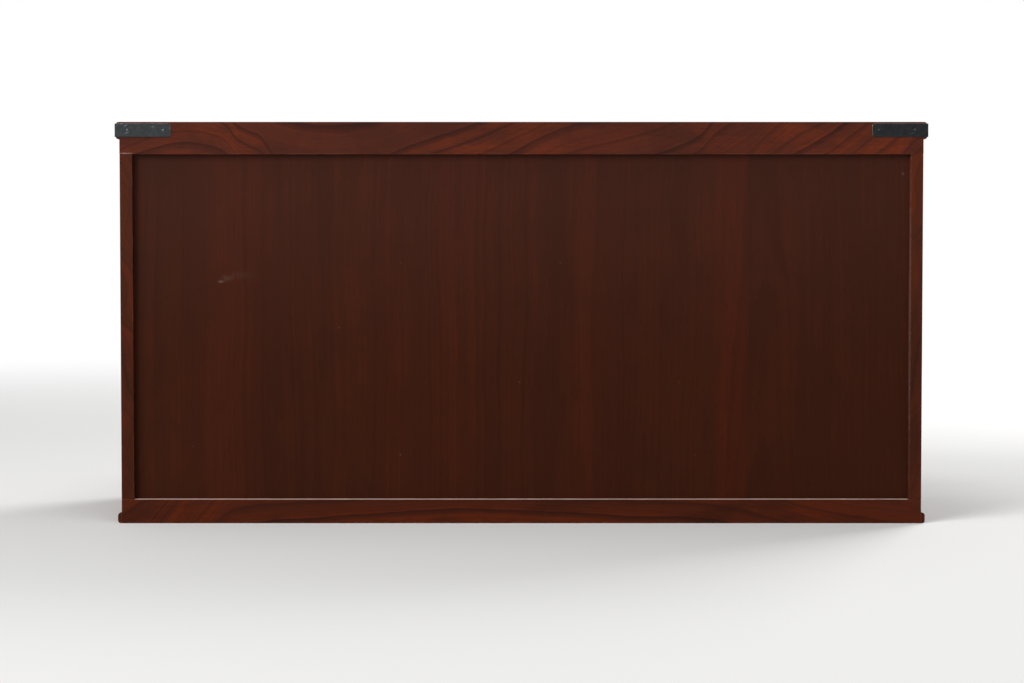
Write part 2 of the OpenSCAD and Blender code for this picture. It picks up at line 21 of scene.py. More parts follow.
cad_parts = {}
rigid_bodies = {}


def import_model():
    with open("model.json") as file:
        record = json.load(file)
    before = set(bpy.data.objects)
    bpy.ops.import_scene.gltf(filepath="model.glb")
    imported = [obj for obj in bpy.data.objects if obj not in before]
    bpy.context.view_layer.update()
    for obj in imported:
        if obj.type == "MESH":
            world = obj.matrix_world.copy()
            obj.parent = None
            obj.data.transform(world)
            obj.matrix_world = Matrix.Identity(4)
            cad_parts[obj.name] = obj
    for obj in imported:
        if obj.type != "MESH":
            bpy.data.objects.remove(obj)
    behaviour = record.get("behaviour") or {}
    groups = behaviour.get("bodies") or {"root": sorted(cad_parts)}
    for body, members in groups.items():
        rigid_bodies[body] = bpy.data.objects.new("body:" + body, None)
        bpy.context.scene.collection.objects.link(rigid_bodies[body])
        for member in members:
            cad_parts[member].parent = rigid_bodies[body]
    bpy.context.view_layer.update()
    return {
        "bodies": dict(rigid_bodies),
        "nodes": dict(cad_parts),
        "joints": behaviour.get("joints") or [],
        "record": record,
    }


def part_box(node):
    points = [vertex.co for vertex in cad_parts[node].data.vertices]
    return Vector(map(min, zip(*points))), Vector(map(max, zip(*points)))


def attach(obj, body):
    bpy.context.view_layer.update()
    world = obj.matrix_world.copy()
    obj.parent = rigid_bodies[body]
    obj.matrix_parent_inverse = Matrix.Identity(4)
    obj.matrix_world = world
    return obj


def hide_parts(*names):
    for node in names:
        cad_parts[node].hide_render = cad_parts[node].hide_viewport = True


Colour = tuple[float, float, float, float]
Point2 = tuple[float, float]
Point3 = tuple[float, float, float]
Material = bpy.types.Material
Mesh = bmesh.types.BMesh
Node = bpy.types.Node
Object = bpy.types.Object
Socket = bpy.types.NodeSocket
Sockets = dict[str, Socket]
Value = float | Sequence[float] | Socket

LOG = logging.getLogger("tansu")
MM = 0.001
# The vertex layer that says where iron is rubbed bright; on plate rims it also carries a painted highlight
RUBBED = "rubbed"
# Corners this near to each other become one
WELD = 1e-6
# A cut this near to a corner goes through it
SNAP = 1e-7
# Faces that meet at more than this many degrees keep a sharp edge
SHARP = 38
ORIGIN: Point3 = (0.0, 0.0, 0.0)


def paint(red: int, green: int, blue: int) -> Colour:
    """Turns a colour as a screen shows it into linear light.

    Args:
        red: red, 0 to 255.
        green: green, 0 to 255.
        blue: blue, 0 to 255.

    Returns:
        The linear colour, with full alpha.
    """
    screen = [channel / 255 for channel in (red, green, blue)]
    linear = [c / 12.92 if c <= 0.04045 else ((c + 0.055) / 1.055) ** 2.4 for c in screen]
    return (linear[0], linear[1], linear[2], 1.0)


# Shader wiring


class Wiring:
    """Places nodes in one node tree and links them."""

    def __init__(self, tree: bpy.types.NodeTree) -> None:
        """Keeps the tree that the nodes go into."""
        self.tree = tree

    def node(self, kind: str, *terms: Value, **settings: object) -> Node:
        """Adds a node.

        Args:
            kind: the node's full type name.
            terms: what its first inputs take, in order.
            settings: its properties by name.

        Returns:
            The new node.
        """
        made = self.tree.nodes.new(kind)
        for name, value in settings.items():
            setattr(made, name, value)
        for socket, term in zip(made.inputs, terms):
            self.feed(socket, term)
        return made

    def feed(self, socket: Socket, value: Value) -> None:
        """Links a socket into an input, or sets the input's own value.

        Args:
            socket: the input.
            value: the socket that is linked, or the value that is set.
        """
        if isinstance(value, Socket):
            self.tree.links.new(value, socket)
        else:
            socket.default_value = value

    def fill(self, node: Node, values: dict[str, Value]) -> Node:
        """Feeds a node's inputs by name.

        Args:
            node: the node.
            values: what its inputs take.

        Returns:
            The same node.
        """
        for name, value in values.items():
            self.feed(node.inputs[name], value)
        return node

    def math(self, operation: str, *terms: Value, clamp: bool = False) -> Socket:
        """Works out one step of arithmetic.

        Args:
            operation: the name of the operation, as the Math node has it.
            terms: its terms, in order.
            clamp: whether the result is kept between 0 and 1.

        Returns:
            The result.
        """
        return self.node("ShaderNodeMath", *terms, operation=operation, use_clamp=clamp).outputs[0]

    def times(self, value: Value, factor: Value) -> Socket:
        """Returns a value times a factor."""
        return self.math("MULTIPLY", value, factor)

    def scaled(self, value: Value, factor: Value, added: Value, clamp: bool = False) -> Socket:
        """Returns a value times a factor plus another value, kept between 0 and 1 if clamp is set."""
        return self.math("MULTIPLY_ADD", value, factor, added, clamp=clamp)

    def vector_math(self, operation: str, *terms: Value) -> Socket:
        """Works out one step of arithmetic on vectors, and returns the resulting vector."""
        return self.node("ShaderNodeVectorMath", *terms, operation=operation).outputs["Vector"]

    def split(self, vector: Value) -> tuple[Socket, ...]:
        """Returns a vector's three parts."""
        return tuple(self.node("ShaderNodeSeparateXYZ", vector).outputs)

    def join(self, *parts: Value) -> Socket:
        """Returns the vector that has these three parts."""
        return self.node("ShaderNodeCombineXYZ", *parts).outputs[0]

    def place(self) -> Socket:
        """Returns the place in the object's frame."""
        return self.node("ShaderNodeTexCoord").outputs["Object"]

    def shifted(self, place: Value, seed: Value, stride: Point3) -> Socket:
        """Moves a place, so that each seed reads another stretch of the noise.

        Args:
            place: the place.
            seed: how many strides it is moved.
            stride: how far one stride goes.

        Returns:
            The moved place.
        """
        shift = self.vector_math("SCALE", stride)
        self.feed(shift.node.inputs["Scale"], seed)
        return self.vector_math("ADD", place, shift)

    def cloud(self, vector: Value, scale: float | Point3, detail: float = 2.0, rough: float = 0.5,
              distortion: float = 0.0) -> Node:
        """Adds noise over a vector.

        Args:
            vector: where it is read.
            scale: its scale, or its scale along each axis.
            detail: its octaves.
            rough: how strong its finer octaves are.
            distortion: how far it is warped by itself.

        Returns:
            The noise node, with a value and a colour.
        """
        if isinstance(scale, tuple):
            vector, scale = self.vector_math("MULTIPLY", vector, scale), 1.0
        return self.fill(self.node("ShaderNodeTexNoise"), {
            "Vector": vector, "Scale": scale, "Detail": detail, "Roughness": rough, "Distortion": distortion,
        })

    def drift(self, place: Value, scale: float) -> Socket:
        """Returns noise along a line, from 0 to 1."""
        made = self.node("ShaderNodeTexNoise", noise_dimensions="1D")
        return self.fill(made, {"W": place, "Scale": scale}).outputs["Fac"]

    def step(self, value: Value, low: Value, high: Value) -> Socket:
        """Rises smoothly from 0 at low to 1 at high.

        Args:
            value: what is read.
            low: where the rise starts.
            high: where it ends, which may lie below low.

        Returns:
            The share from 0 to 1.
        """
        return self.node("ShaderNodeMapRange", value, low, high, interpolation_type="SMOOTHSTEP").outputs[0]

    def mix(self, share: Value, under: Value, over: Value) -> Socket:
        """Lays one colour over another.

        Args:
            share: how much of the upper colour shows. The node keeps it between 0 and 1.
            under: the lower colour.
            over: the upper colour.

        Returns:
            The mixed colour.
        """
        made = self.node("ShaderNodeMix", data_type="RGBA")
        colours = [socket for socket in made.inputs if socket.type == "RGBA"]
        self.feed(made.inputs[0], share)
        self.feed(colours[0], under)
        self.feed(colours[1], over)
        return next(socket for socket in made.outputs if socket.type == "RGBA")

    def layered(self, ground: Value, layers: Iterable[tuple[Value, Value, Value]]) -> Socket:
        """Lays colours over a ground, one after the other.

        Args:
            ground: the lowest colour.
            layers: for each layer its mask, how much of it shows under the mask, and its colour.

        Returns:
            The mixed colour.
        """
        for mask, share, over in layers:
            ground = self.mix(self.times(mask, share), ground, over)
        return ground

    def mix_shaders(self, share: Value, first: Node, second: Node) -> Socket:
        """Returns a mix of two shaders: the share says how much of the second one shows."""
        return self.node("ShaderNodeMixShader", share, first.outputs[0], second.outputs[0]).outputs[0]


@dataclass(frozen=True)
class Port:
    """An input of a node group: its name and its default, which is a number or a vector."""

    name: str
    default: float | Point3 = 0.0

    @property
    def kind(self) -> str:
        """The socket's type name."""
        return "NodeSocketVector" if isinstance(self.default, tuple) else "NodeSocketFloat"


BOARD, PLACE, SEED = Port("Board", ORIGIN), Port("Place", ORIGIN), Port("Seed")


class Effect:
    """A shader node group, built once and placed in each material with its own values."""

    title: ClassVar[str] = ""
    takes: ClassVar[tuple[Port, ...]] = ()
    gives: ClassVar[tuple[str, ...]] = ()
    built: ClassVar[dict[str, bpy.types.NodeTree]] = {}

    @classmethod
    def tree(cls) -> bpy.types.NodeTree:
        """Builds the group when it is first asked for.

        Returns:
            The group's node tree.
        """
        if cls.title not in Effect.built:
            tree = bpy.data.node_groups.new(cls.title, "ShaderNodeTree")
            for port in cls.takes:
                socket = tree.interface.new_socket(name=port.name, in_out="INPUT", socket_type=port.kind)
                socket.default_value = port.default
            for name in cls.gives:
                tree.interface.new_socket(name=name, in_out="OUTPUT", socket_type="NodeSocketFloat")
            w = Wiring(tree)
            start, end = w.node("NodeGroupInput"), w.node("NodeGroupOutput")
            w.fill(end, cls.wire(w, {socket.name: socket for socket in start.outputs}))
            Effect.built[cls.title] = tree
        return Effect.built[cls.title]

    @classmethod
    def wire(cls, w: Wiring, given: Sockets) -> Sockets:
        """Wires the inside of the group.

        Args:
            w: the wiring of the group's tree.
            given: the group's inputs by name.

        Returns:
            The group's outputs by name.
        """
        raise NotImplementedError

    @classmethod
    def apply(cls, w: Wiring, values: dict[str, Value]) -> Sockets:
        """Puts the group into a material.

        Args:
            w: the wiring of the material's tree.
            values: what its inputs take, by name.

        Returns:
            Its outputs by name.
        """
        made = w.fill(w.node("ShaderNodeGroup", node_tree=cls.tree(), label=cls.title), values)
        return {socket.name: socket for socket in made.outputs}


class GrowthRings(Effect):
    """Rings of a log as they cross a board: dark late wood, and a tone that drifts from ring to ring."""

    title = "Growth Rings"
    takes = (
        BOARD, Port("Pith Depth", 0.08), Port("Pith Across"), Port("Tilt", 0.05), Port("Pitch", 0.006),
        Port("Wander", 0.004), Port("Line Width", 0.25), Port("Swell"), SEED,
    )
    gives = ("Late", "Fine", "Tone")
    stride: ClassVar[Point3] = (7.3, 3.1, 5.7)
    # The slow and the quick waviness: the noise, and how many times the wander it bends a ring
    slow: ClassVar[tuple] = ((3.5, 9.0, 9.0), 1.0)
    quick: ClassVar[tuple] = ((28.0, 60.0, 60.0), 2.0, 0.6)
    reaches: ClassVar[Point2] = (4.0, 0.75)
    # How unevenly the rings follow each other: the noise's scale, and its reach in rings
    uneven_scale: ClassVar[float] = 0.45
    uneven_reach: ClassVar[float] = 1.6
    # Where a line starts, is full and starts to fade, in its widths before the ring's end
    line_shape: ClassVar[Point3] = (-2.4, -0.45, -0.25)
    fine_lines_per_ring: ClassVar[float] = 4.0

    @classmethod
    def wire(cls, w: Wiring, given: Sockets) -> Sockets:
        """Measures how far each point lies from the pith, counted in rings, and draws a line at each one.

        Args:
            w: the wiring of the group's tree.
            given: the group's inputs by name.

        Returns:
            The group's outputs by name.
        """
        seed = given["Seed"]
        place = w.shifted(given["Board"], seed, cls.stride)
        slow, quick = w.cloud(place, *cls.slow), w.cloud(place, *cls.quick)
        along, depth, across = w.split(given["Board"])
        depth = w.math("SUBTRACT", depth, given["Pith Depth"])
        depth = w.scaled(along, given["Tilt"], depth)
        across = w.math("SUBTRACT", across, given["Pith Across"])
        for cloud, multiple in zip((slow, quick), cls.reaches):
            _, deeper, aside = w.split(w.vector_math("SUBTRACT", cloud.outputs["Color"], (0.5, 0.5, 0.5)))
            reach = w.times(given["Wander"], multiple)
            depth = w.scaled(deeper, reach, depth)
            across = w.scaled(aside, reach, across)
        square = w.scaled(depth, depth, w.times(across, across))
        rings = w.math("DIVIDE", w.math("SQRT", square), given["Pitch"])
        rings = w.math("ADD", rings, given["Swell"])
        uneven = w.drift(w.math("ADD", rings, seed), cls.uneven_scale)
        rings = w.scaled(uneven, cls.uneven_reach, rings)
        part = w.math("FRACT", rings)
        chance = w.node("ShaderNodeTexWhiteNoise", noise_dimensions="1D")
        w.feed(chance.inputs["W"], w.math("ADD", w.math("FLOOR", rings), seed))
        luck = w.math("POWER", chance.outputs["Value"], 1.6)
        width = w.times(given["Line Width"], w.scaled(luck, 0.9, 0.6))
        start, full, fading = (w.scaled(width, widths, 1.0) for widths in cls.line_shape)
        late = w.times(w.step(part, start, full), w.step(part, 1.0, fading))
        strength = w.scaled(luck, 0.65, 0.35)
        fade = w.scaled(slow.outputs["Fac"], 0.9, 0.55, clamp=True)
        fine = w.math("FRACT", w.times(rings, cls.fine_lines_per_ring))
        return {
            "Late": w.times(w.times(late, strength), fade),
            "Fine": w.times(w.step(fine, 0.35, 0.85), w.step(fine, 1.0, 0.9)),
            "Tone": w.step(w.drift(w.scaled(seed, 1.7, rings), 0.8), 0.3, 0.7),
        }


class Fibre(Effect):
    """What runs along the grain: short open pores, soft streaks, and a slow cloudiness."""

    title = "Fibre"
    takes = (BOARD, SEED)
    stride: ClassVar[Point3] = (2.3, 8.9, 4.1)
    # The scale, the detail, the roughness and the distortion of each noise
    noises: ClassVar[dict[str, tuple]] = {
        "Pores": ((45.0, 800.0, 800.0), 1.0),
        "Streaks": ((8.0, 270.0, 270.0), 3.0, 0.65),
        "Bands": ((0.9, 17.0, 17.0), 3.0, 0.55),
        "Patches": ((8.0, 26.0, 26.0), 4.0, 0.6, 0.3),
        "Cloud": (11.0, 4.0, 0.62),
    }
    gives = tuple(noises)
    # Where pores and patches rise out of their noise
    edges: ClassVar[dict[str, Point2]] = {"Pores": (0.60, 0.74), "Patches": (0.44, 0.66)}

    @classmethod
    def wire(cls, w: Wiring, given: Sockets) -> Sockets:
        """Reads noise that is stretched along the grain by different amounts.

        Args:
            w: the wiring of the group's tree.
            given: the group's inputs by name.

        Returns:
            The group's outputs by name.
        """
        place = w.shifted(given["Board"], given["Seed"], cls.stride)
        found = {name: w.cloud(place, *shape).outputs["Fac"] for name, shape in cls.noises.items()}
        return found | {name: w.step(found[name], *edge) for name, edge in cls.edges.items()}


class BoxDistance(Effect):
    """How deep a point lies in a box, and how near it is to the box's edges, in metres."""

    title = "Box Distance"
    takes = (PLACE, Port("Centre", ORIGIN), Port("Half", (1.0, 1.0, 1.0)))
    gives = ("Depth", "Edge")

    @classmethod
    def wire(cls, w: Wiring, given: Sockets) -> Sockets:
        """Sorts the distances to the box's three pairs of faces.

        Args:
            w: the wiring of the group's tree.
            given: the group's inputs by name.

        Returns:
            The group's outputs by name.
        """
        away = w.vector_math("ABSOLUTE", w.vector_math("SUBTRACT", given["Place"], given["Centre"]))
        x, y, z = w.split(w.vector_math("SUBTRACT", given["Half"], away))
        least, most, total = (w.math(way, w.math(way, x, y), z) for way in ("MINIMUM", "MAXIMUM", "ADD"))
        middle = w.math("SUBTRACT", w.math("SUBTRACT", total, least), most)
        return {"Depth": least, "Edge": middle}


class ArrisWear(Effect):
    """Lacquer rubbed thin along a board's arrises, unevenly."""

    title = "Arris Wear"
    takes = (PLACE, Port("Edge"), Port("Reach", 0.002), SEED)
    gives = ("Wear",)
    stride: ClassVar[Point3] = (1.9, 6.7, 3.3)

    @classmethod
    def wire(cls, w: Wiring, given: Sockets) -> Sockets:
        """Fades the wear away from the arris, and breaks it up along its length.

        Args:
            w: the wiring of the group's tree.
            given: the group's inputs by name.

        Returns:
            The group's outputs by name.
        """
        broken = w.cloud(w.shifted(given["Place"], given["Seed"], cls.stride), 26.0, 5.0, 0.7)
        reach = w.times(given["Reach"], w.step(broken.outputs["Fac"], 0.38, 0.72))
        return {"Wear": w.step(given["Edge"], reach, 0.0)}


class PaintedTopHighlight(Effect):
    """A painted highlight on faces that look up, mottled."""

    title = "Painted Top Highlight"
    takes = (PLACE,)
    gives = ("Highlight",)

    @classmethod
    def wire(cls, w: Wiring, given: Sockets) -> Sockets:
        """Takes how far a face looks up, and mottles it.

        Args:
            w: the wiring of the group's tree.
            given: the group's inputs by name.

        Returns:
            The group's outputs by name.
        """
        _, _, up = w.split(w.node("ShaderNodeNewGeometry").outputs["Normal"])
        patches = w.cloud(given["Place"], 45.0, 4.0, 0.65)
        amount = w.scaled(patches.outputs["Fac"], 0.8, 0.35, clamp=True)
        return {"Highlight": w.times(w.step(up, 0.35, 0.95), amount)}


class PaleMarkShape(Effect):
    """A small, broken, pale mark on a face that looks along Y, used for rubs in the lacquer and for a
    painted highlight.
    """

    title = "PaleMarkShape"
    takes = (PLACE, Port("Middle", ORIGIN), Port("Width", 0.01), Port("Height", 0.01), Port("Strength", 0.1))
    gives = ("PaleMarkShape",)
    # How far the noise moves the mark's edge, as a share of the mark's half size
    ragged: ClassVar[float] = 1.6

    @classmethod
    def wire(cls, w: Wiring, given: Sockets) -> Sockets:
        """Fades the mark away from its middle, and breaks up its edge.

        Args:
            w: the wiring of the group's tree.
            given: the group's inputs by name.

        Returns:
            The group's outputs by name.
        """
        x, _, z = w.split(w.vector_math("SUBTRACT", given["Place"], given["Middle"]))
        ripple = w.cloud(given["Place"], 170.0, 3.0, 0.6).outputs["Fac"]
        across = w.math("DIVIDE", x, w.times(given["Width"], 0.5))
        up = w.math("DIVIDE", z, w.times(given["Height"], 0.5))
        square = w.scaled(across, across, w.times(up, up))
        reach = w.scaled(ripple, cls.ragged, w.math("SQRT", square))
        return {"PaleMarkShape": w.times(w.step(reach, 1.9, 0.7), given["Strength"])}


class ForgedSkin(Effect):
    """The skin of hammered, oil-blackened iron: fine pitting, blue-grey scale and thin scratches."""

    title = "Forged Skin"
    takes = (PLACE, Port("Scratching", 0.5))
    gives = ("Height", "Scale", "Scratch")
    # How far a scratch strays from a straight line
    stray: ClassVar[float] = 5 * MM

    @classmethod
    def wire(cls, w: Wiring, given: Sockets) -> Sockets:
        """Layers pitting, scale and scratches.

        Args:
            w: the wiring of the group's tree.
            given: the group's inputs by name.

        Returns:
            The group's outputs by name.
        """
        place = given["Place"]
        pits, scale = w.cloud(place, 1400.0, 3.0, 0.6), w.cloud(place, 160.0, 5.0, 0.6, 0.4)
        warp = w.cloud(place, 90.0, 2.0)
        x, y, z = w.split(w.vector_math("MULTIPLY_ADD", warp.outputs["Color"], (cls.stray,) * 3, place))
        level = w.math("ADD", x, y)
        slanted = w.scaled(level, 0.3, z)
        lines = w.cloud(w.join(w.times(level, 40.0), 0.0, w.times(slanted, 800.0)), 1.0, 1.0)
        scratch = w.times(w.step(lines.outputs["Fac"], 0.66, 0.76), w.step(warp.outputs["Fac"], 0.5, 0.64))
        return {
            "Height": w.scaled(pits.outputs["Fac"], 0.5, scale.outputs["Fac"]),
            "Scale": w.step(scale.outputs["Fac"], 0.35, 0.68),
            "Scratch": w.times(scratch, given["Scratching"]),
        }


# Boards and boxes


class Grain(Enum):
    """How a board lies: the axes along its grain, into its depth and across its face."""

    LEVEL_FACING_Y = (0, 1, 2)
    LEVEL_FACING_Z = (0, 2, 1)
    UPRIGHT_FACING_Y = (2, 1, 0)
    UPRIGHT_FACING_X = (2, 0, 1)
    RUNNING_BACK = (1, 0, 2)
    RUNNING_BACK_FLAT = (1, 2, 0)


@dataclass(frozen=True)
class Cut:
    """How a board was sawn from its log, seen from the middle of the board.

    The pith lies pith_depth behind or before the board's middle and pith_across to one side. It leans by
    tilt along the grain. swell holds (place along the grain, rings) pairs that bend the figure further.
    tones holds (place across the face, tone) pairs: 1 where the board is flushed, -1 where it is deep.
    """

    grain: Grain
    pith_depth: float = -0.09
    pith_across: float = 0.0
    tilt: float = 0.05
    pitch: float = 6.5 * MM
    wander: float = 3 * MM
    line_width: float = 0.25
    seed: float = 0.0
    swell: tuple[Point2, ...] = ()
    tones: tuple[Point2, ...] = ()

    def figure(self, w: Wiring, board: Value, swell: Value = 0.0) -> tuple[Sockets, Sockets]:
        """Draws the figure of the board.

        Args:
            w: the wiring of the material's tree.
            board: the place in the board's own coordinates.
            swell: by how many rings the figure is bent there.

        Returns:
            The outputs of the growth rings and of the fibre.
        """
        rings = GrowthRings.apply(w, {
            "Board": board, "Pith Depth": self.pith_depth, "Pith Across": self.pith_across,
            "Tilt": self.tilt, "Pitch": self.pitch, "Wander": self.wander, "Line Width": self.line_width,
            "Swell": swell, "Seed": self.seed,
        })
        return rings, Fibre.apply(w, {"Board": board, "Seed": self.seed})


@dataclass(frozen=True)
class Box:
    """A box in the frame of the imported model."""

    low: Vector
    high: Vector

    @classmethod
    def of(cls, node: str) -> Box:
        """Returns the box of a CAD node at rest."""
        return cls(*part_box(node))

    @property
    def centre(self) -> Vector:
        """The box's middle."""
        return (self.low + self.high) / 2

    @property
    def half(self) -> Vector:
        """Half of the box's size."""
        return (self.high - self.low) / 2

    def end(self, axis: int, way: int) -> float:
        """Returns where the box ends along an axis, up it where way is 1 and down it where way is -1."""
        return (self.high if way > 0 else self.low)[axis]

    def distances(self, w: Wiring, place: Value) -> Sockets:
        """Returns how deep a place lies in the box, and how near it is to an edge."""
        return BoxDistance.apply(w, {"Place": place, "Centre": tuple(self.centre), "Half": tuple(self.half)})


@dataclass(frozen=True)
class PaleMark:
    """A small pale mark on a face that looks along Y: its place across and up, its size and its strength. It
    draws rubs, and a painted highlight.
    """

    x: float
    z: float
    width: float
    height: float
    strength: float

    def paleness(self, w: Wiring, place: Value) -> Socket:
        """Draws the mark.

        Args:
            w: the wiring of the material's tree.
            place: the place in the object's frame.

        Returns:
            How much of it shows.
        """
        return PaleMarkShape.apply(w, {
            "Place": place, "Middle": (self.x, 0.0, self.z), "Width": self.width, "Height": self.height,
            "Strength": self.strength,
        })["PaleMarkShape"]


def board_axes(w: Wiring, place: Value, centre: Vector, grain: Grain) -> Socket:
    """Turns a place into a board's own coordinates: along its grain, into its depth, across its face.

    Args:
        w: the wiring of the material's tree.
        place: the place in the object's frame.
        centre: the board's middle.
        grain: how the board lies.

    Returns:
        The turned vector.
    """
    parts = w.split(w.vector_math("SUBTRACT", place, tuple(centre)))
    return w.join(*(parts[axis] for axis in grain.value))


def drawn_curve(w: Wiring, place: Value, points: Iterable[Point2]) -> Socket:
    """Reads a drawn curve over a board.

    Args:
        w: the wiring of the material's tree.
        place: the place along one of the board's axes.
        points: the curve's (place, value) points.

    Returns:
        The curve's value.
    """
    spots, values = zip(*sorted(points))
    start, length = spots[0], spots[-1] - spots[0]
    least, most = min(values), max(values)
    share = w.math("DIVIDE", w.math("SUBTRACT", place, start), length, clamp=True)
    made = w.node("ShaderNodeFloatCurve")
    curve = made.mapping.curves[0]
    while len(curve.points) < len(spots):
        curve.points.new(0.5, 0.5)
    for point, spot, value in zip(curve.points, spots, values):
        point.location = ((spot - start) / length, (value - least) / (most - least))
    made.mapping.update()
    w.feed(made.inputs["Value"], share)
    return w.scaled(made.outputs[0], most - least, least)


# Finishes


def new_material(name: str) -> tuple[Material, Wiring, Node]:
    """Starts a material.

    Args:
        name: its name.

    Returns:
        The material, the wiring of its tree, and its Principled shader.
    """
    material = bpy.data.materials.new(name)
    material.use_nodes = True
    material.node_tree.nodes.clear()
    w = Wiring(material.node_tree)
    shader = w.node("ShaderNodeBsdfPrincipled")
    w.node("ShaderNodeOutputMaterial", shader.outputs["BSDF"])
    return material, w, shader


def bump(w: Wiring, shader: Node, height: Value, distance: float, strength: float) -> None:
    """Feeds a height into a shader's normal.

    Args:
        w: the wiring of the material's tree.
        shader: the shader whose normal it bends.
        height: the height, 0 to 1.
        distance: how high 1 stands, in metres.
        strength: the share of it that shows.
    """
    made = w.fill(w.node("ShaderNodeBump"), {"Distance": distance, "Strength": strength, "Height": height})
    w.feed(shader.inputs["Normal"], made.outputs["Normal"])


@dataclass(frozen=True)
class BareWood:
    """Unfinished paulownia, darkened a little by age."""

    ground: Colour = paint(176, 139, 98)
    line: Colour = paint(128, 92, 60)
    shade: Colour = paint(141, 104, 68)
    slot: str = "bare_paulownia"
    cloud_share: float = 0.25
    band_share: float = 0.55
    streak_share: float = 0.5
    line_strength: float = 0.62
    pore_share: float = 0.35
    roughness: float = 0.72
    gloss: float = 0.25
    relief: float = 0.12 * MM

    def colour(self, w: Wiring, board: Value, cut: Cut) -> tuple[Socket, Socket]:
        """Draws the bare wood's colour.

        Args:
            w: the wiring of the material's tree.
            board: the place in the board's own coordinates.
            cut: how the board was sawn.

        Returns:
            The colour, and a height for its grain.
        """
        rings, fibre = cut.figure(w, board)
        colour = w.layered(self.ground, (
            (w.step(fibre["Cloud"], 0.3, 0.7), self.cloud_share, self.shade),
            (w.step(fibre["Bands"], 0.36, 0.68), self.band_share, self.shade),
            (w.step(fibre["Streaks"], 0.3, 0.75), self.streak_share, self.shade),
            (rings["Late"], self.line_strength, self.line),
            (fibre["Pores"], self.pore_share, self.line),
        ))
        return colour, w.scaled(rings["Late"], 0.6, fibre["Streaks"])

    def dress(self, name: str, box: Box, cut: Cut) -> Material:
        """Makes the material of one bare board.

        Args:
            name: the material's name.
            box: the board's box.
            cut: how the board was sawn.

        Returns:
            The material.
        """
        material, w, shader = new_material(name)
        colour, height = self.colour(w, board_axes(w, w.place(), box.centre, cut.grain), cut)
        rough = w.scaled(height, 0.12, self.roughness - 0.08)
        w.fill(shader, {"Base Color": colour, "Roughness": rough, "Specular IOR Level": self.gloss})
        bump(w, shader, height, self.relief, 0.7)
        return material


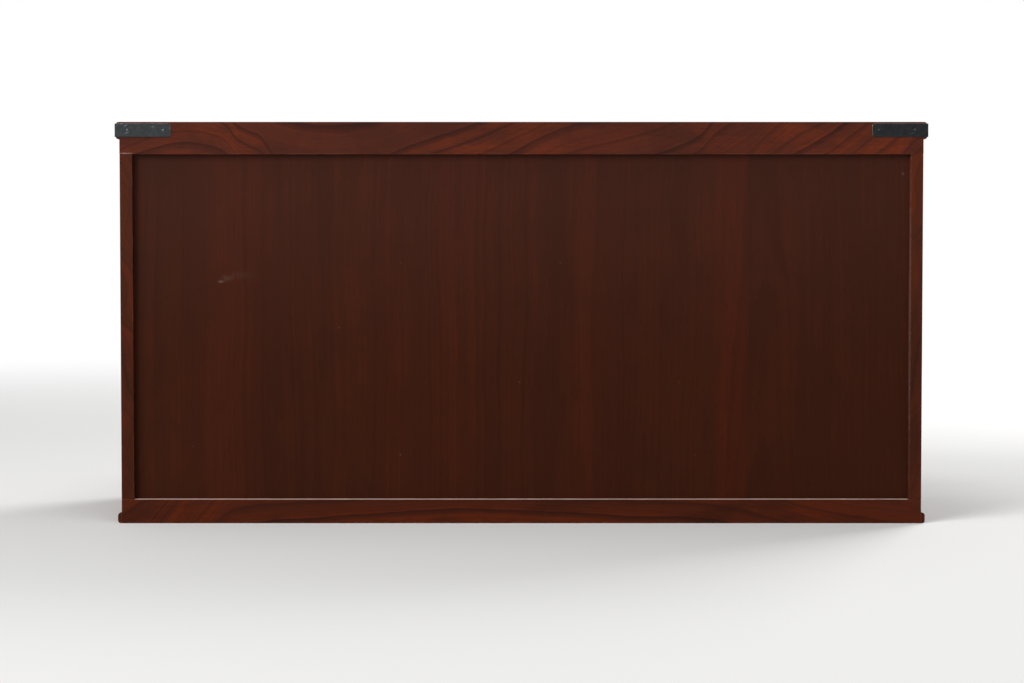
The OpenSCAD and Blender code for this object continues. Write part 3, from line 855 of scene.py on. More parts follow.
@dataclass(frozen=True)
class Lacquer:
    """Red-brown lacquer, thin enough to show the figure of the zelkova under it."""

    ground: Colour = paint(84, 37, 24)
    glow: Colour = paint(108, 43, 21)
    line: Colour = paint(36, 18, 15)
    deep: Colour = paint(58, 28, 20)
    flush: Colour = paint(94, 30, 12)
    # The pale tone of rubbed lacquer, which also serves as the painted sheen
    worn_and_sheen: Colour = paint(118, 72, 54)
    # The pale colour of rubs, also laid on as painted highlights
    rub_and_highlight: Colour = paint(186, 163, 152)
    slot: str = "lacquered_rails"
    line_strength: float = 0.92
    fine_strength: float = 0.25
    glow_share: float = 0.8
    band_share: float = 0.35
    patch_share: float = 0.7
    cloud_share: float = 0.0
    tone_share: float = 0.3
    streak_share: float = 0.35
    pore_share: float = 0.45
    # How far the edge of a tone wavers
    tone_waver: float = 12 * MM
    # How much of the pale tone is laid over the board's upper end: a painted sheen, lighter where light
    # falls from above
    painted_sheen_share: float = 0.0
    # A painted highlight on faces that look up: how much shows, and how far across X from the middle it
    # reaches
    top_highlight_share: float = 0.0
    top_highlight_half_width: float = 0.0
    wear_reach: float = 1.6 * MM
    wear_strength: float = 0.55
    roughness: float = 0.34
    # How much rougher the painted top highlight, the pale marks and bare wood are than the lacquer
    top_highlight_rougher: float = 0.3
    pale_mark_rougher: float = 0.25
    bare_rougher: float = 0.34
    gloss: float = 0.05
    coat: float = 0.05
    coat_roughness: float = 0.16
    relief: float = 0.09 * MM
    # Half of the width over which the lacquer gives way to bare wood
    margin: float = 0.2 * MM
    bare: BareWood = field(default_factory=BareWood)

    def dress(self, name: str, box: Box, cut: Cut, hidden: Box | None = None,
              pale_marks: Iterable[PaleMark] = ()) -> Material:
        """Makes the material of one lacquered board.

        Args:
            name: the material's name.
            box: the board's box.
            cut: how the board was sawn.
            hidden: the space whose faces were left bare, or None.
            pale_marks: pale marks on its face: rubs, and painted highlights.

        Returns:
            The material.
        """
        material, w, shader = new_material(name)
        place = w.place()
        board = board_axes(w, place, box.centre, cut.grain)
        along, _, across = w.split(board)
        rings, fibre = cut.figure(w, board, drawn_curve(w, along, cut.swell) if cut.swell else 0.0)
        edge = box.distances(w, place)["Edge"]
        wear = ArrisWear.apply(w, {
            "Place": place, "Edge": edge, "Reach": self.wear_reach, "Seed": cut.seed,
        })["Wear"]

        layers = [
            (rings["Tone"], self.glow_share, self.glow),
            (w.step(fibre["Bands"], 0.38, 0.66), self.band_share, self.deep),
            (fibre["Patches"], self.patch_share, self.deep),
            (w.step(fibre["Cloud"], 0.32, 0.68), self.cloud_share, self.deep),
        ]
        if cut.tones:
            tone = drawn_curve(w, w.scaled(fibre["Cloud"], self.tone_waver, across), cut.tones)
            layers += [(tone, self.tone_share, self.flush), (tone, -self.tone_share, self.deep)]
        layers += [
            (w.step(fibre["Streaks"], 0.35, 0.8), self.streak_share, self.deep),
            (rings["Fine"], self.fine_strength, self.deep),
            (rings["Late"], self.line_strength, self.line),
            (fibre["Pores"], self.pore_share, self.line),
            (wear, self.wear_strength, self.worn_and_sheen),
        ]
        # Painted sheen: the board is painted paler towards its upper end
        if self.painted_sheen_share > 0:
            rise = w.step(w.split(place)[2], box.centre.z - 0.4 * box.half.z, box.high.z)
            layers.append((rise, self.painted_sheen_share, self.worn_and_sheen))
        colour = w.layered(self.ground, layers)
        rough = w.scaled(wear, 0.18, w.scaled(fibre["Cloud"], 0.14, self.roughness - 0.07))
        for mask, rougher in self.marks(w, place, pale_marks):
            colour = w.mix(mask, colour, self.rub_and_highlight)
            rough = w.scaled(mask, rougher, rough)
        coat: Value = self.coat
        if hidden is not None:
            inside = w.step(hidden.distances(w, place)["Depth"], -self.margin, self.margin)
            colour = w.mix(inside, colour, self.bare.colour(w, board, cut)[0])
            rough = w.scaled(inside, self.bare_rougher, rough)
            coat = w.times(w.math("SUBTRACT", 1.0, inside), self.coat)
        w.fill(shader, {
            "Base Color": colour, "Roughness": rough, "Specular IOR Level": self.gloss, "Coat Weight": coat,
            "Coat Roughness": self.coat_roughness,
        })
        bump(w, shader, w.scaled(rings["Late"], -0.35, w.times(fibre["Pores"], -0.6)), self.relief, 0.6)
        return material

    def marks(self, w: Wiring, place: Value, pale_marks: Iterable[PaleMark]) -> list[tuple[Socket, float]]:
        """Lists the painted top highlight and the pale marks that pale a board.

        Args:
            w: the wiring of the material's tree.
            place: the place in the object's frame.
            pale_marks: the board's pale marks.

        Returns:
            For each mark how much of it shows, and how much rougher it makes the lacquer.
        """
        found = []
        # Painted highlight on faces that look up, kept within a width across X
        if self.top_highlight_share > 0:
            top_highlight = w.times(PaintedTopHighlight.apply(w, {"Place": place})["Highlight"], self.top_highlight_share)
            aside = w.math("ABSOLUTE", w.split(place)[0])
            within = w.step(aside, self.top_highlight_half_width, self.top_highlight_half_width - 1 * MM)
            found.append((w.times(top_highlight, within), self.top_highlight_rougher))
        return found + [(pale_mark.paleness(w, place), self.pale_mark_rougher) for pale_mark in pale_marks]


@dataclass(frozen=True)
class BlackIron:
    """Hammered iron, blackened with hot oil, a little blue where it is rubbed."""

    dark: Colour = paint(41, 44, 45)
    scale: Colour = paint(49, 53, 55)
    bright: Colour = paint(118, 120, 122)
    # The colour of rubbed iron, also laid on plate rims as a painted highlight
    rim: Colour = paint(172, 160, 154)
    slot: str = "black_iron"
    scratching: float = 0.5
    scratch_share: float = 0.6
    roughness: float = 0.5
    metallic: float = 0.8
    gloss: float = 0.4
    relief: float = 0.05 * MM

    def dress(self, name: str) -> Material:
        """Makes the material of the irons.

        Args:
            name: the material's name.

        Returns:
            The material.
        """
        material, w, shader = new_material(name)
        skin = ForgedSkin.apply(w, {"Place": w.place(), "Scratching": self.scratching})
        rubbed = w.node("ShaderNodeAttribute", attribute_name=RUBBED).outputs["Fac"]
        rubbed = w.times(rubbed, w.scaled(skin["Scale"], 0.5, 0.5))
        colour = w.mix(skin["Scale"], self.dark, self.scale)
        colour = w.mix(w.times(skin["Scratch"], self.scratch_share), colour, self.bright)
        w.fill(shader, {
            "Base Color": w.mix(rubbed, colour, self.rim),
            "Roughness": w.scaled(rubbed, -0.16, w.scaled(skin["Scale"], -0.08, self.roughness + 0.04)),
            "Metallic": self.metallic,
            "Specular IOR Level": self.gloss,
        })
        bump(w, shader, skin["Height"], self.relief, 0.5)
        return material


# Objects and meshes


def add_object(name: str, data: bpy.types.ID) -> Object:
    """Makes an object and links it into the scene.

    Args:
        name: its name.
        data: its mesh, camera or lamp data.

    Returns:
        The object.
    """
    made = bpy.data.objects.new(name, data)
    bpy.context.scene.collection.objects.link(made)
    return made


def mesh_object(name: str, mesh: Mesh) -> Object:
    """Turns a mesh into an object in the scene.

    Args:
        name: the object's name.
        mesh: its mesh. It is freed.

    Returns:
        The object.
    """
    data = bpy.data.meshes.new(name)
    mesh.to_mesh(data)
    mesh.free()
    return add_object(name, data)


def modify(target: Object, name: str, kind: str, **settings: object) -> None:
    """Adds a modifier to an object.

    Args:
        target: the object.
        name: the modifier's name.
        kind: its type.
        settings: its properties by name.
    """
    made = target.modifiers.new(name, kind)
    for key, value in settings.items():
        setattr(made, key, value)


def finish_piece(name: str, mesh: Mesh, material: Material, body: str,
                 replaces: Sequence[str] = ()) -> Object:
    """Turns a mesh into a named piece that rides on a body.

    Args:
        name: the piece's name.
        mesh: its mesh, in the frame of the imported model. It is freed.
        material: its material.
        body: the body that it moves with.
        replaces: the CAD nodes that it stands for.

    Returns:
        The piece.
    """
    bmesh.ops.recalc_face_normals(mesh, faces=mesh.faces)
    for face in mesh.faces:
        face.smooth = True
    piece = mesh_object(name, mesh)
    piece.data.set_sharp_from_angle(angle=math.radians(SHARP))
    piece.data.materials.append(material)
    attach(piece, body)
    if replaces:
        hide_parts(*replaces)
    LOG.info("%s: %d faces, on %s", name, len(piece.data.polygons), body)
    return piece


def empty_mesh() -> Mesh:
    """Makes a mesh with nothing in it but the layer of rubbed places.

    Returns:
        The mesh.
    """
    mesh = bmesh.new()
    mesh.verts.layers.float.new(RUBBED)
    return mesh


def add_mesh(target: Mesh, source: Mesh, matrix: Matrix, slot: int = 0) -> None:
    """Adds a copy of one mesh to another.

    Args:
        target: the mesh that grows.
        source: the mesh that is copied.
        matrix: where the copy goes.
        slot: which of the piece's materials the copy has.
    """
    copies = {vertex: target.verts.new(matrix @ vertex.co) for vertex in source.verts}
    given, taken = source.verts.layers.float[RUBBED], target.verts.layers.float[RUBBED]
    for vertex, copy in copies.items():
        copy[taken] = vertex[given]
    for face in source.faces:
        target.faces.new([copies[vertex] for vertex in face.verts]).material_index = slot


def span(mesh: Mesh, rings: Sequence[Sequence[bmesh.types.BMVert]], segments: int) -> None:
    """Spans faces from each ring of corners to the next one.

    Args:
        mesh: the mesh that has the corners.
        rings: the rings. One of a single corner closes an end.
        segments: how many faces go round.
    """
    for lower, upper in zip(rings, rings[1:]):
        for i in range(segments):
            j = (i + 1) % segments
            corners = [ring[k % len(ring)] for ring, k in ((lower, i), (lower, j), (upper, j), (upper, i))]
            mesh.faces.new(list(dict.fromkeys(corners)))


def cut_through(mesh: Mesh, axis: int, spots: Iterable[float]) -> None:
    """Cuts a mesh along planes that stand across X or Y.

    Args:
        mesh: the mesh.
        axis: 0 for X, 1 for Y.
        spots: where the planes cross that axis.
    """
    normal = Vector((1 - axis, axis, 0))
    for spot in spots:
        geometry = [*mesh.verts, *mesh.edges, *mesh.faces]
        bmesh.ops.bisect_plane(mesh, geom=geometry, dist=SNAP, plane_co=normal * spot, plane_no=normal)


def revolve(profile: Sequence[Point2], segments: int, wobble: float = 0.0, seed: float = 0.0) -> Mesh:
    """Turns a profile about Z.

    Args:
        profile: (radius, height) points. A radius of 0 closes an end.
        segments: how many sides it has.
        wobble: share by which the radius varies round the turn, as in hand work.
        seed: where that variation is read.

    Returns:
        The mesh.
    """
    mesh = empty_mesh()
    rings = []
    for radius, height in profile:
        if radius <= 0:
            rings.append([mesh.verts.new((0, 0, height))])
            continue
        ring = []
        for i in range(segments):
            angle = math.tau * i / segments
            spot = Vector((math.cos(angle), math.sin(angle), height / (3 * MM) + seed))
            r = radius * (1 + wobble * noise.noise(spot * 1.7))
            ring.append(mesh.verts.new((r * math.cos(angle), r * math.sin(angle), height)))
        rings.append(ring)
    span(mesh, rings, segments)
    return mesh


def arc(x: float, y: float, radius: float, start: float, end: float, steps: int) -> list[Point2]:
    """Lists the points of an arc.

    Args:
        x: its centre across.
        y: its centre up.
        radius: its radius.
        start: the angle it starts at, in degrees.
        end: the angle it ends at, in degrees.
        steps: how many stretches it has.

    Returns:
        Its points, both ends included.
    """
    angles = [math.radians(start + (end - start) * i / steps) for i in range(steps + 1)]
    return [(x + radius * math.cos(a), y + radius * math.sin(a)) for a in angles]


def stand(spot: Point3, degrees: float, axis: str) -> Matrix:
    """Returns the matrix that turns a piece about an axis and then moves it to a spot."""
    return Matrix.Translation(spot) @ Matrix.Rotation(math.radians(degrees), 4, axis)


def hammer_mark(place: Vector, size: float, seed: float) -> float:
    """Returns how deep a hammered face lies at a place, from 0 at a ridge to 1 in the middle of a mark."""
    distances, _ = noise.voronoi(place / size + Vector((seed, 0.37 * seed, 0.0)))
    return max(0.0, 1.0 - distances[0] ** 2 * 1.6)


def united(first: Mesh, second: Mesh) -> Mesh:
    """Joins two closed meshes into one solid.

    Args:
        first: one mesh. It is freed.
        second: the other mesh. It is freed.

    Returns:
        Their union.
    """
    parts = []
    for mesh in (first, second):
        bmesh.ops.recalc_face_normals(mesh, faces=mesh.faces)
        parts.append(mesh_object("part", mesh))
    modify(parts[0], "union", "BOOLEAN", operation="UNION", solver="EXACT", object=parts[1])
    result = bmesh.new()
    result.from_object(parts[0], bpy.context.evaluated_depsgraph_get())
    if RUBBED not in result.verts.layers.float:
        result.verts.layers.float.new(RUBBED)
    for made in parts:
        bpy.data.objects.remove(made)
    return result


@dataclass(frozen=True)
class PlateWork:
    """How sheet iron is worked: its eased edge, its hammer marks and the fineness of its mesh."""

    edge: float = 0.45 * MM
    mark_size: float = 6.5 * MM
    mark_depth: float = 0.05 * MM
    cell: float = 1.3 * MM
    # How bright the eased rim is marked: wear, and a painted highlight
    rim_wear_and_highlight: float = 0.8

    def plate(self, outline: Sequence[Point2], thickness: float, seed: float) -> Mesh:
        """Makes a flat hammered plate that stands on the plane of its outline.

        Args:
            outline: its corners, anticlockwise.
            thickness: how thick it is.
            seed: where its hammer marks are read.

        Returns:
            The mesh, with its worked face towards +Z.
        """
        mesh = empty_mesh()
        base = mesh.faces.new([mesh.verts.new((x, y, 0.0)) for x, y in outline])
        grown = bmesh.ops.extrude_face_region(mesh, geom=[base])
        upper = [item for item in grown["geom"] if isinstance(item, bmesh.types.BMVert)]
        bmesh.ops.translate(mesh, verts=upper, vec=(0, 0, thickness))
        bmesh.ops.recalc_face_normals(mesh, faces=mesh.faces)
        rim = [edge for edge in mesh.edges if all(v.co.z > thickness / 2 for v in edge.verts)]
        bmesh.ops.bevel(mesh, geom=rim, offset=self.edge, segments=2, profile=0.5, affect="EDGES")
        self.grid(mesh)
        rubbed = mesh.verts.layers.float[RUBBED]
        for vertex in mesh.verts:
            if vertex.co.z < thickness - self.edge - 0.01 * MM:
                continue
            if all(face.normal.z > 0.9 for face in vertex.link_faces):
                flat = Vector((vertex.co.x, vertex.co.y, 0.0))
                vertex.co.z -= self.mark_depth * hammer_mark(flat, self.mark_size, seed)
            else:
                vertex[rubbed] = self.rim_wear_and_highlight
        return mesh

    def grid(self, mesh: Mesh) -> None:
        """Cuts a mesh along evenly spaced planes, so that it can bend and take hammer marks.

        Args:
            mesh: the mesh.
        """
        for axis in (0, 1):
            spread = [vertex.co[axis] for vertex in mesh.verts]
            low, high = min(spread), max(spread)
            count = math.ceil((high - low) / self.cell)
            cut_through(mesh, axis, [low + i * self.cell for i in range(1, count)])


# Sub-assemblies


@dataclass
class DomeNail:
    """A hand-made nail with a domed head."""

    head_r: float = 3.0 * MM
    head_h: float = 1.6 * MM
    shank_r: float = 1.0 * MM
    # The share of the shank that tapers, and the share of its radius that is left at the tip
    taper: float = 0.25
    tip: float = 0.25
    unevenness: float = 0.06
    dome_steps: int = 6
    segments: int = 18

    def mesh(self, length: float, seed: float) -> Mesh:
        """Makes the nail along Z, with the underside of its head at 0.

        Args:
            length: the shank's length.
            seed: where the unevenness of its head is read.

        Returns:
            The mesh.
        """
        r = self.shank_r
        profile = [(0.0, -length), (r * self.tip, -length), (r, -length * (1 - self.taper)), (r, 0.0)]
        profile.append((self.head_r, 0.0))
        sphere_r = (self.head_r**2 + self.head_h**2) / (2 * self.head_h)
        start = math.asin(self.head_r / sphere_r)
        for i in range(1, self.dome_steps):
            angle = start * (1 - i / self.dome_steps)
            profile.append((sphere_r * math.sin(angle), self.head_h - sphere_r * (1 - math.cos(angle))))
        profile.append((0.0, self.head_h))
        return revolve(profile, self.segments, self.unevenness, seed)


@dataclass
class CornerIrons:
    """The four irons bent round the corners of the top, with their nails."""

    left: BlackIron
    right: BlackIron
    left_nails: Material
    right_nails: Material
    leg: float = 82 * MM
    height: float = 20 * MM
    thickness: float = 1.5 * MM
    end_r: float = 4 * MM
    nail_corner: float = 18 * MM
    nail_end: float = 10.5 * MM
    nail_length: float = 10 * MM
    # How much of the rim's wear and painted highlight the lower rim keeps, as a share of the upper one,
    # which is painted lighter where light falls from above
    lower_rim_share: float = 0.2
    bend_steps: int = 4
    arc_steps: int = 6
    nail: DomeNail = field(default_factory=DomeNail)
    work: PlateWork = field(default_factory=PlateWork)

    def build(self) -> None:
        """Makes every iron and nail, and puts them where the CAD nodes are."""
        finishes = {"left": (-1, self.left), "right": (1, self.right)}
        materials = {
            side: iron.dress(f"blackened_corner_iron_{side}") for side, (_, iron) in finishes.items()
        }
        nails = empty_mesh()
        for end, back in (("back", 1), ("front", -1)):
            for side, (across, iron) in finishes.items():
                node = f"corner_iron_{end}_{side}"
                place = self.corner(Box.of(node), across, back)
                right, far = int(across > 0), int(back > 0)
                plate = self.bent(11.0 + 3.7 * right + 8.9 * far)
                plate.transform(place)
                finish_piece(f"{node}_plate", plate, materials[side], "case", (node,))
                for i, matrix in enumerate(self.nail_places()):
                    nail = self.nail.mesh(self.nail_length + self.thickness, 5.1 * i + 2 * right + far)
                    add_mesh(nails, nail, place @ matrix, right)
        heads = finish_piece("corner_nail_heads", nails, self.left_nails, "case",
                             ("corner_nails",))
        heads.data.materials.append(self.right_nails)

    def corner(self, box: Box, across: int, back: int) -> Matrix:
        """Finds how an iron lies.

        Args:
            box: the CAD iron's box.
            across: 1 for the right side, at +X, and -1 for the left.
            back: 1 for the back, at +Y, and -1 for the front.

        Returns:
            The matrix from an iron drawn at the origin's corner to its place, mirrored as needed.
        """
        x = box.end(0, across) - across * self.thickness
        y = box.end(1, back) - back * self.thickness
        return Matrix.Translation((x, y, box.centre.z)) @ Matrix.Diagonal((across, back, 1, 1))

    def bent(self, seed: float) -> Mesh:
        """Makes one iron, bent round a corner that points to +X and +Y.

        Args:
            seed: where its hammer marks are read.

        Returns:
            The mesh.
        """
        bend = self.thickness * math.pi / 4
        r, half = self.end_r, self.height / 2
        x, y = self.leg + bend - r, half - r
        outline = []
        for start, across, up in ((0, 1, 1), (90, -1, 1), (180, -1, -1), (270, 1, -1)):
            outline += arc(across * x, up * y, r, start, start + 90, self.arc_steps)
        mesh = self.work.plate(outline, self.thickness, seed)
        rubbed = mesh.verts.layers.float[RUBBED]
        # The painted highlight lies on the upper rim, where light falls from above, so the lower rim keeps
        # less
        for vertex in mesh.verts:
            if vertex.co.y < self.work.edge - half:
                vertex[rubbed] *= self.lower_rim_share
        cut_through(mesh, 0, [bend * (2 * i / self.bend_steps - 1) for i in range(self.bend_steps + 1)])
        for vertex in mesh.verts:
            u, v, h = vertex.co
            if u < -bend:
                vertex.co = (u + bend, h, v)
            elif u > bend:
                vertex.co = (h, bend - u, v)
            else:
                angle = math.radians(90) * (u + bend) / (2 * bend)
                vertex.co = (h * math.sin(angle), h * math.cos(angle), v)
        bmesh.ops.remove_doubles(mesh, verts=mesh.verts, dist=WELD)
        return mesh

    def nail_places(self) -> list[Matrix]:
        """Lists where the four nails of an iron stand, for an iron at the origin's corner.

        Returns:
            The matrices, first the two nearer to the corner.
        """
        places = []
        for distance in (self.nail_corner, self.leg - self.nail_end):
            places.append(stand((-distance, self.thickness, 0), -90, "X"))
            places.append(stand((self.thickness, -distance, 0), 90, "Y"))
        return places


@dataclass
class Rosette:
    """A chrysanthemum rosette under a handle post."""

    radius: float = 13 * MM
    petal_r: float = 3.6 * MM
    thickness: float = 1.5 * MM
    petals: int = 8
    rim: float = 0.55 * MM
    boss_r: float = 5.6 * MM
    hole_r: float = 2.6 * MM
    # How much lower the boss is at its edge, and the step round it
    boss_fall: float = 0.12
    boss_step: float = 0.35 * MM
    # The groove between petals, how far their ends roll off, and the least height
    groove: float = 0.4 * MM
    roll_off: float = 0.25 * MM
    least: float = 0.3 * MM
    steps_per_petal: int = 10
    rings: int = 16
    crown_wear: float = 0.32

    def mesh(self) -> Mesh:
        """Makes the rosette on the plane Z = 0, with a hole for the post's shank.

        Returns:
            The mesh.
        """
        mesh = empty_mesh()
        rubbed = mesh.verts.layers.float[RUBBED]
        count = self.petals * self.steps_per_petal
        columns = []
        for i in range(count):
            angle = math.tau * i / count
            off = (i % self.steps_per_petal) / self.steps_per_petal - 0.5
            column = [mesh.verts.new(self.spot(self.hole_r, angle, 0.0))]
            outer = self.outline(off * math.tau / self.petals)
            for j in range(self.rings + 1):
                radius = self.hole_r + (outer - self.hole_r) * j / self.rings
                height = self.height(radius, outer, off)
                vertex = mesh.verts.new(self.spot(radius, angle, height))
                if radius > self.boss_r:
                    vertex[rubbed] = self.crown_wear * max(0.0, 4 * height / self.thickness - 3)
                column.append(vertex)
            column.append(mesh.verts.new(self.spot(outer, angle, 0.0)))
            columns.append(column)
        for column, following in zip(columns, columns[1:] + columns[:1]):
            for j, corner in enumerate(column):
                k = (j + 1) % len(column)
                mesh.faces.new([corner, following[j], following[k], column[k]])
        return mesh

    @staticmethod
    def spot(radius: float, angle: float, height: float) -> Vector:
        """Returns the point at a radius, an angle and a height."""
        return Vector((radius * math.cos(angle), radius * math.sin(angle), height))

    def outline(self, lean: float) -> float:
        """Measures how far the rosette reaches.

        Args:
            lean: the angle away from the middle of a petal, in radians.

        Returns:
            The distance from the rosette's middle to its rim.
        """
        centre = self.radius - self.petal_r
        inside = self.petal_r**2 - (centre * math.sin(lean)) ** 2
        return max(centre, centre * math.cos(lean) + math.sqrt(max(inside, 0.0)))

    def height(self, radius: float, outer: float, off: float) -> float:
        """Returns the height of the worked face.

        Args:
            radius: the distance from the middle.
            outer: how far the rosette reaches there.
            off: the place across the petal, -0.5 to 0.5.

        Returns:
            The height above the drawer's face.
        """
        if radius < self.boss_r:
            share = (radius - self.hole_r) / (self.boss_r - self.hole_r)
            step = self.boss_step if share > 0.92 else 0.0
            return self.thickness * (1 - self.boss_fall * share**3) - step
        share = (radius - self.boss_r) / (outer - self.boss_r)
        across = 1 - (2 * off) ** 2
        crown = (self.thickness - self.rim) * (0.25 + 0.75 * across)
        crown *= math.sin(math.pi * (0.12 + 0.76 * share))
        groove = self.groove * max(0.0, abs(2 * off) - 0.8) / 0.2
        return max(self.least, self.rim + crown - groove - self.roll_off * share**6)


@dataclass
class HandlePost:
    """A post that a bail hangs in: an eye on a turned neck, with its shank riveted over a washer inside."""

    pivot_out: float = 12.5 * MM
    ball_r: float = 6.5 * MM
    eye_r: float = 3.1 * MM
    # The rim round each mouth of the eye
    lip: float = 0.25 * MM
    neck_r: float = 4 * MM
    shank_r: float = 2.5 * MM
    seat: float = 1.55 * MM
    front_t: float = 20 * MM
    washer_r: float = 7 * MM
    washer_t: float = 1.5 * MM
    washer_hole_r: float = 2.6 * MM
    washer_ease: float = 0.3 * MM
    rivet_r: float = 4 * MM
    rivet_h: float = 1.5 * MM
    gap: float = 0.05 * MM
    # How unevenly the post and its washer are turned, as shares of their radius
    unevenness: float = 0.012
    washer_unevenness: float = 0.01
    ball_steps: int = 14
    segments: int = 32
    # The rivet's head, in shares of its radius and height, from its crown to the washer
    rivet: ClassVar[tuple[Point2, ...]] = ((0.0, 1.0), (0.55, 0.93), (0.9, 0.5), (1.0, 0.0))
    # The turned neck: the share of its radius, and the height over the rosette
    turning: ClassVar[tuple[Point2, ...]] = (
        (1.02, 0.0), (1.18, 0.5 * MM), (1.18, 1.1 * MM), (0.86, 1.7 * MM), (0.76, 3.1 * MM),
        (0.84, 4.6 * MM), (1.0, 5.6 * MM), (0.9, 6.2 * MM), (0.0, 6.2 * MM),
    )

    def mesh(self) -> Mesh:
        """Makes the post along Z, standing out from the drawer's face at Z = 0.

        Returns:
            The mesh.
        """
        inner = -self.front_t - self.washer_t - self.gap
        profile = [(self.rivet_r * share, inner - self.rivet_h * depth) for share, depth in self.rivet]
        profile += [(self.shank_r, inner), (self.shank_r, self.seat)]
        profile += [(self.neck_r * share, self.seat + rise) for share, rise in self.turning]
        return united(revolve(profile, self.segments, self.unevenness), self.eye())

    def eye(self) -> Mesh:
        """Makes the ball with its bore along X.

        Returns:
            The mesh.
        """
        half = math.acos(self.eye_r / self.ball_r)
        reach = self.ball_r * math.sin(half)
        profile = [(self.eye_r, self.lip - reach)]
        for i in range(self.ball_steps + 1):
            angle = -half + 2 * half * i / self.ball_steps
            swell = self.lip if i in (0, self.ball_steps) else 0.0
            profile.append((self.ball_r * math.cos(angle) + swell, self.ball_r * math.sin(angle)))
        profile.append((self.eye_r, reach - self.lip))
        mesh = revolve(profile, self.segments)
        mesh.verts.ensure_lookup_table()
        span(mesh, (mesh.verts[-self.segments:], mesh.verts[:self.segments]), self.segments)
        bmesh.ops.recalc_face_normals(mesh, faces=mesh.faces)
        mesh.transform(stand((0, 0, self.pivot_out), 90, "Y"))
        return mesh

    def washer(self) -> Mesh:
        """Makes the washer on the inside of the drawer's front.

        Returns:
            The mesh.
        """
        inner, outer, ease = self.washer_hole_r, self.washer_r, self.washer_ease
        low, high = -self.front_t - self.washer_t, -self.front_t
        profile = [(inner, high), (inner, low), (outer - ease, low), (outer, low + ease), (outer, high)]
        mesh = revolve(profile + profile[:1], self.segments, self.washer_unevenness)
        bmesh.ops.remove_doubles(mesh, verts=mesh.verts, dist=WELD)
        return mesh


@dataclass
class Strap:
    """An iron strap on the corner of a drawer front, with two lobed legs and three nails."""

    length: float = 42 * MM
    width: float = 12 * MM
    end_r: float = 8 * MM
    thickness: float = 1.2 * MM
    inset: float = 1.5 * MM
    nail_length: float = 6 * MM
    gap: float = 0.05 * MM
    lobe_steps: int = 12
    nail: DomeNail = field(default_factory=DomeNail)
    work: PlateWork = field(default_factory=lambda: PlateWork(mark_size=4.5 * MM, mark_depth=0.06 * MM))

    def outline(self) -> list[Point2]:
        """Lists the strap's corners.

        Returns:
            Its points, anticlockwise from the corner of the drawer front.
        """
        w, r, c = self.width, self.end_r, self.length - self.end_r
        # How far above and below its middle a lobe's circle meets the strap's edges, in degrees
        meet = math.degrees(math.asin(w / 2 / r))
        level = [(0.0, 0.0)] + arc(c, w / 2, r, -meet, 180 - meet, self.lobe_steps)
        upright = [(y, x) for x, y in reversed(level)]
        return level + [(w, w)] + upright[:-1]

    def mesh(self, seed: float) -> Mesh:
        """Makes one strap from the corner towards +X and +Y."""
        return self.work.plate(self.outline(), self.thickness, seed)

    def nail_places(self) -> list[Point2]:
        """Lists where the strap's nails stand."""
        half, far = self.width / 2, self.length - self.end_r
        return [(half, half), (far, half), (half, far)]


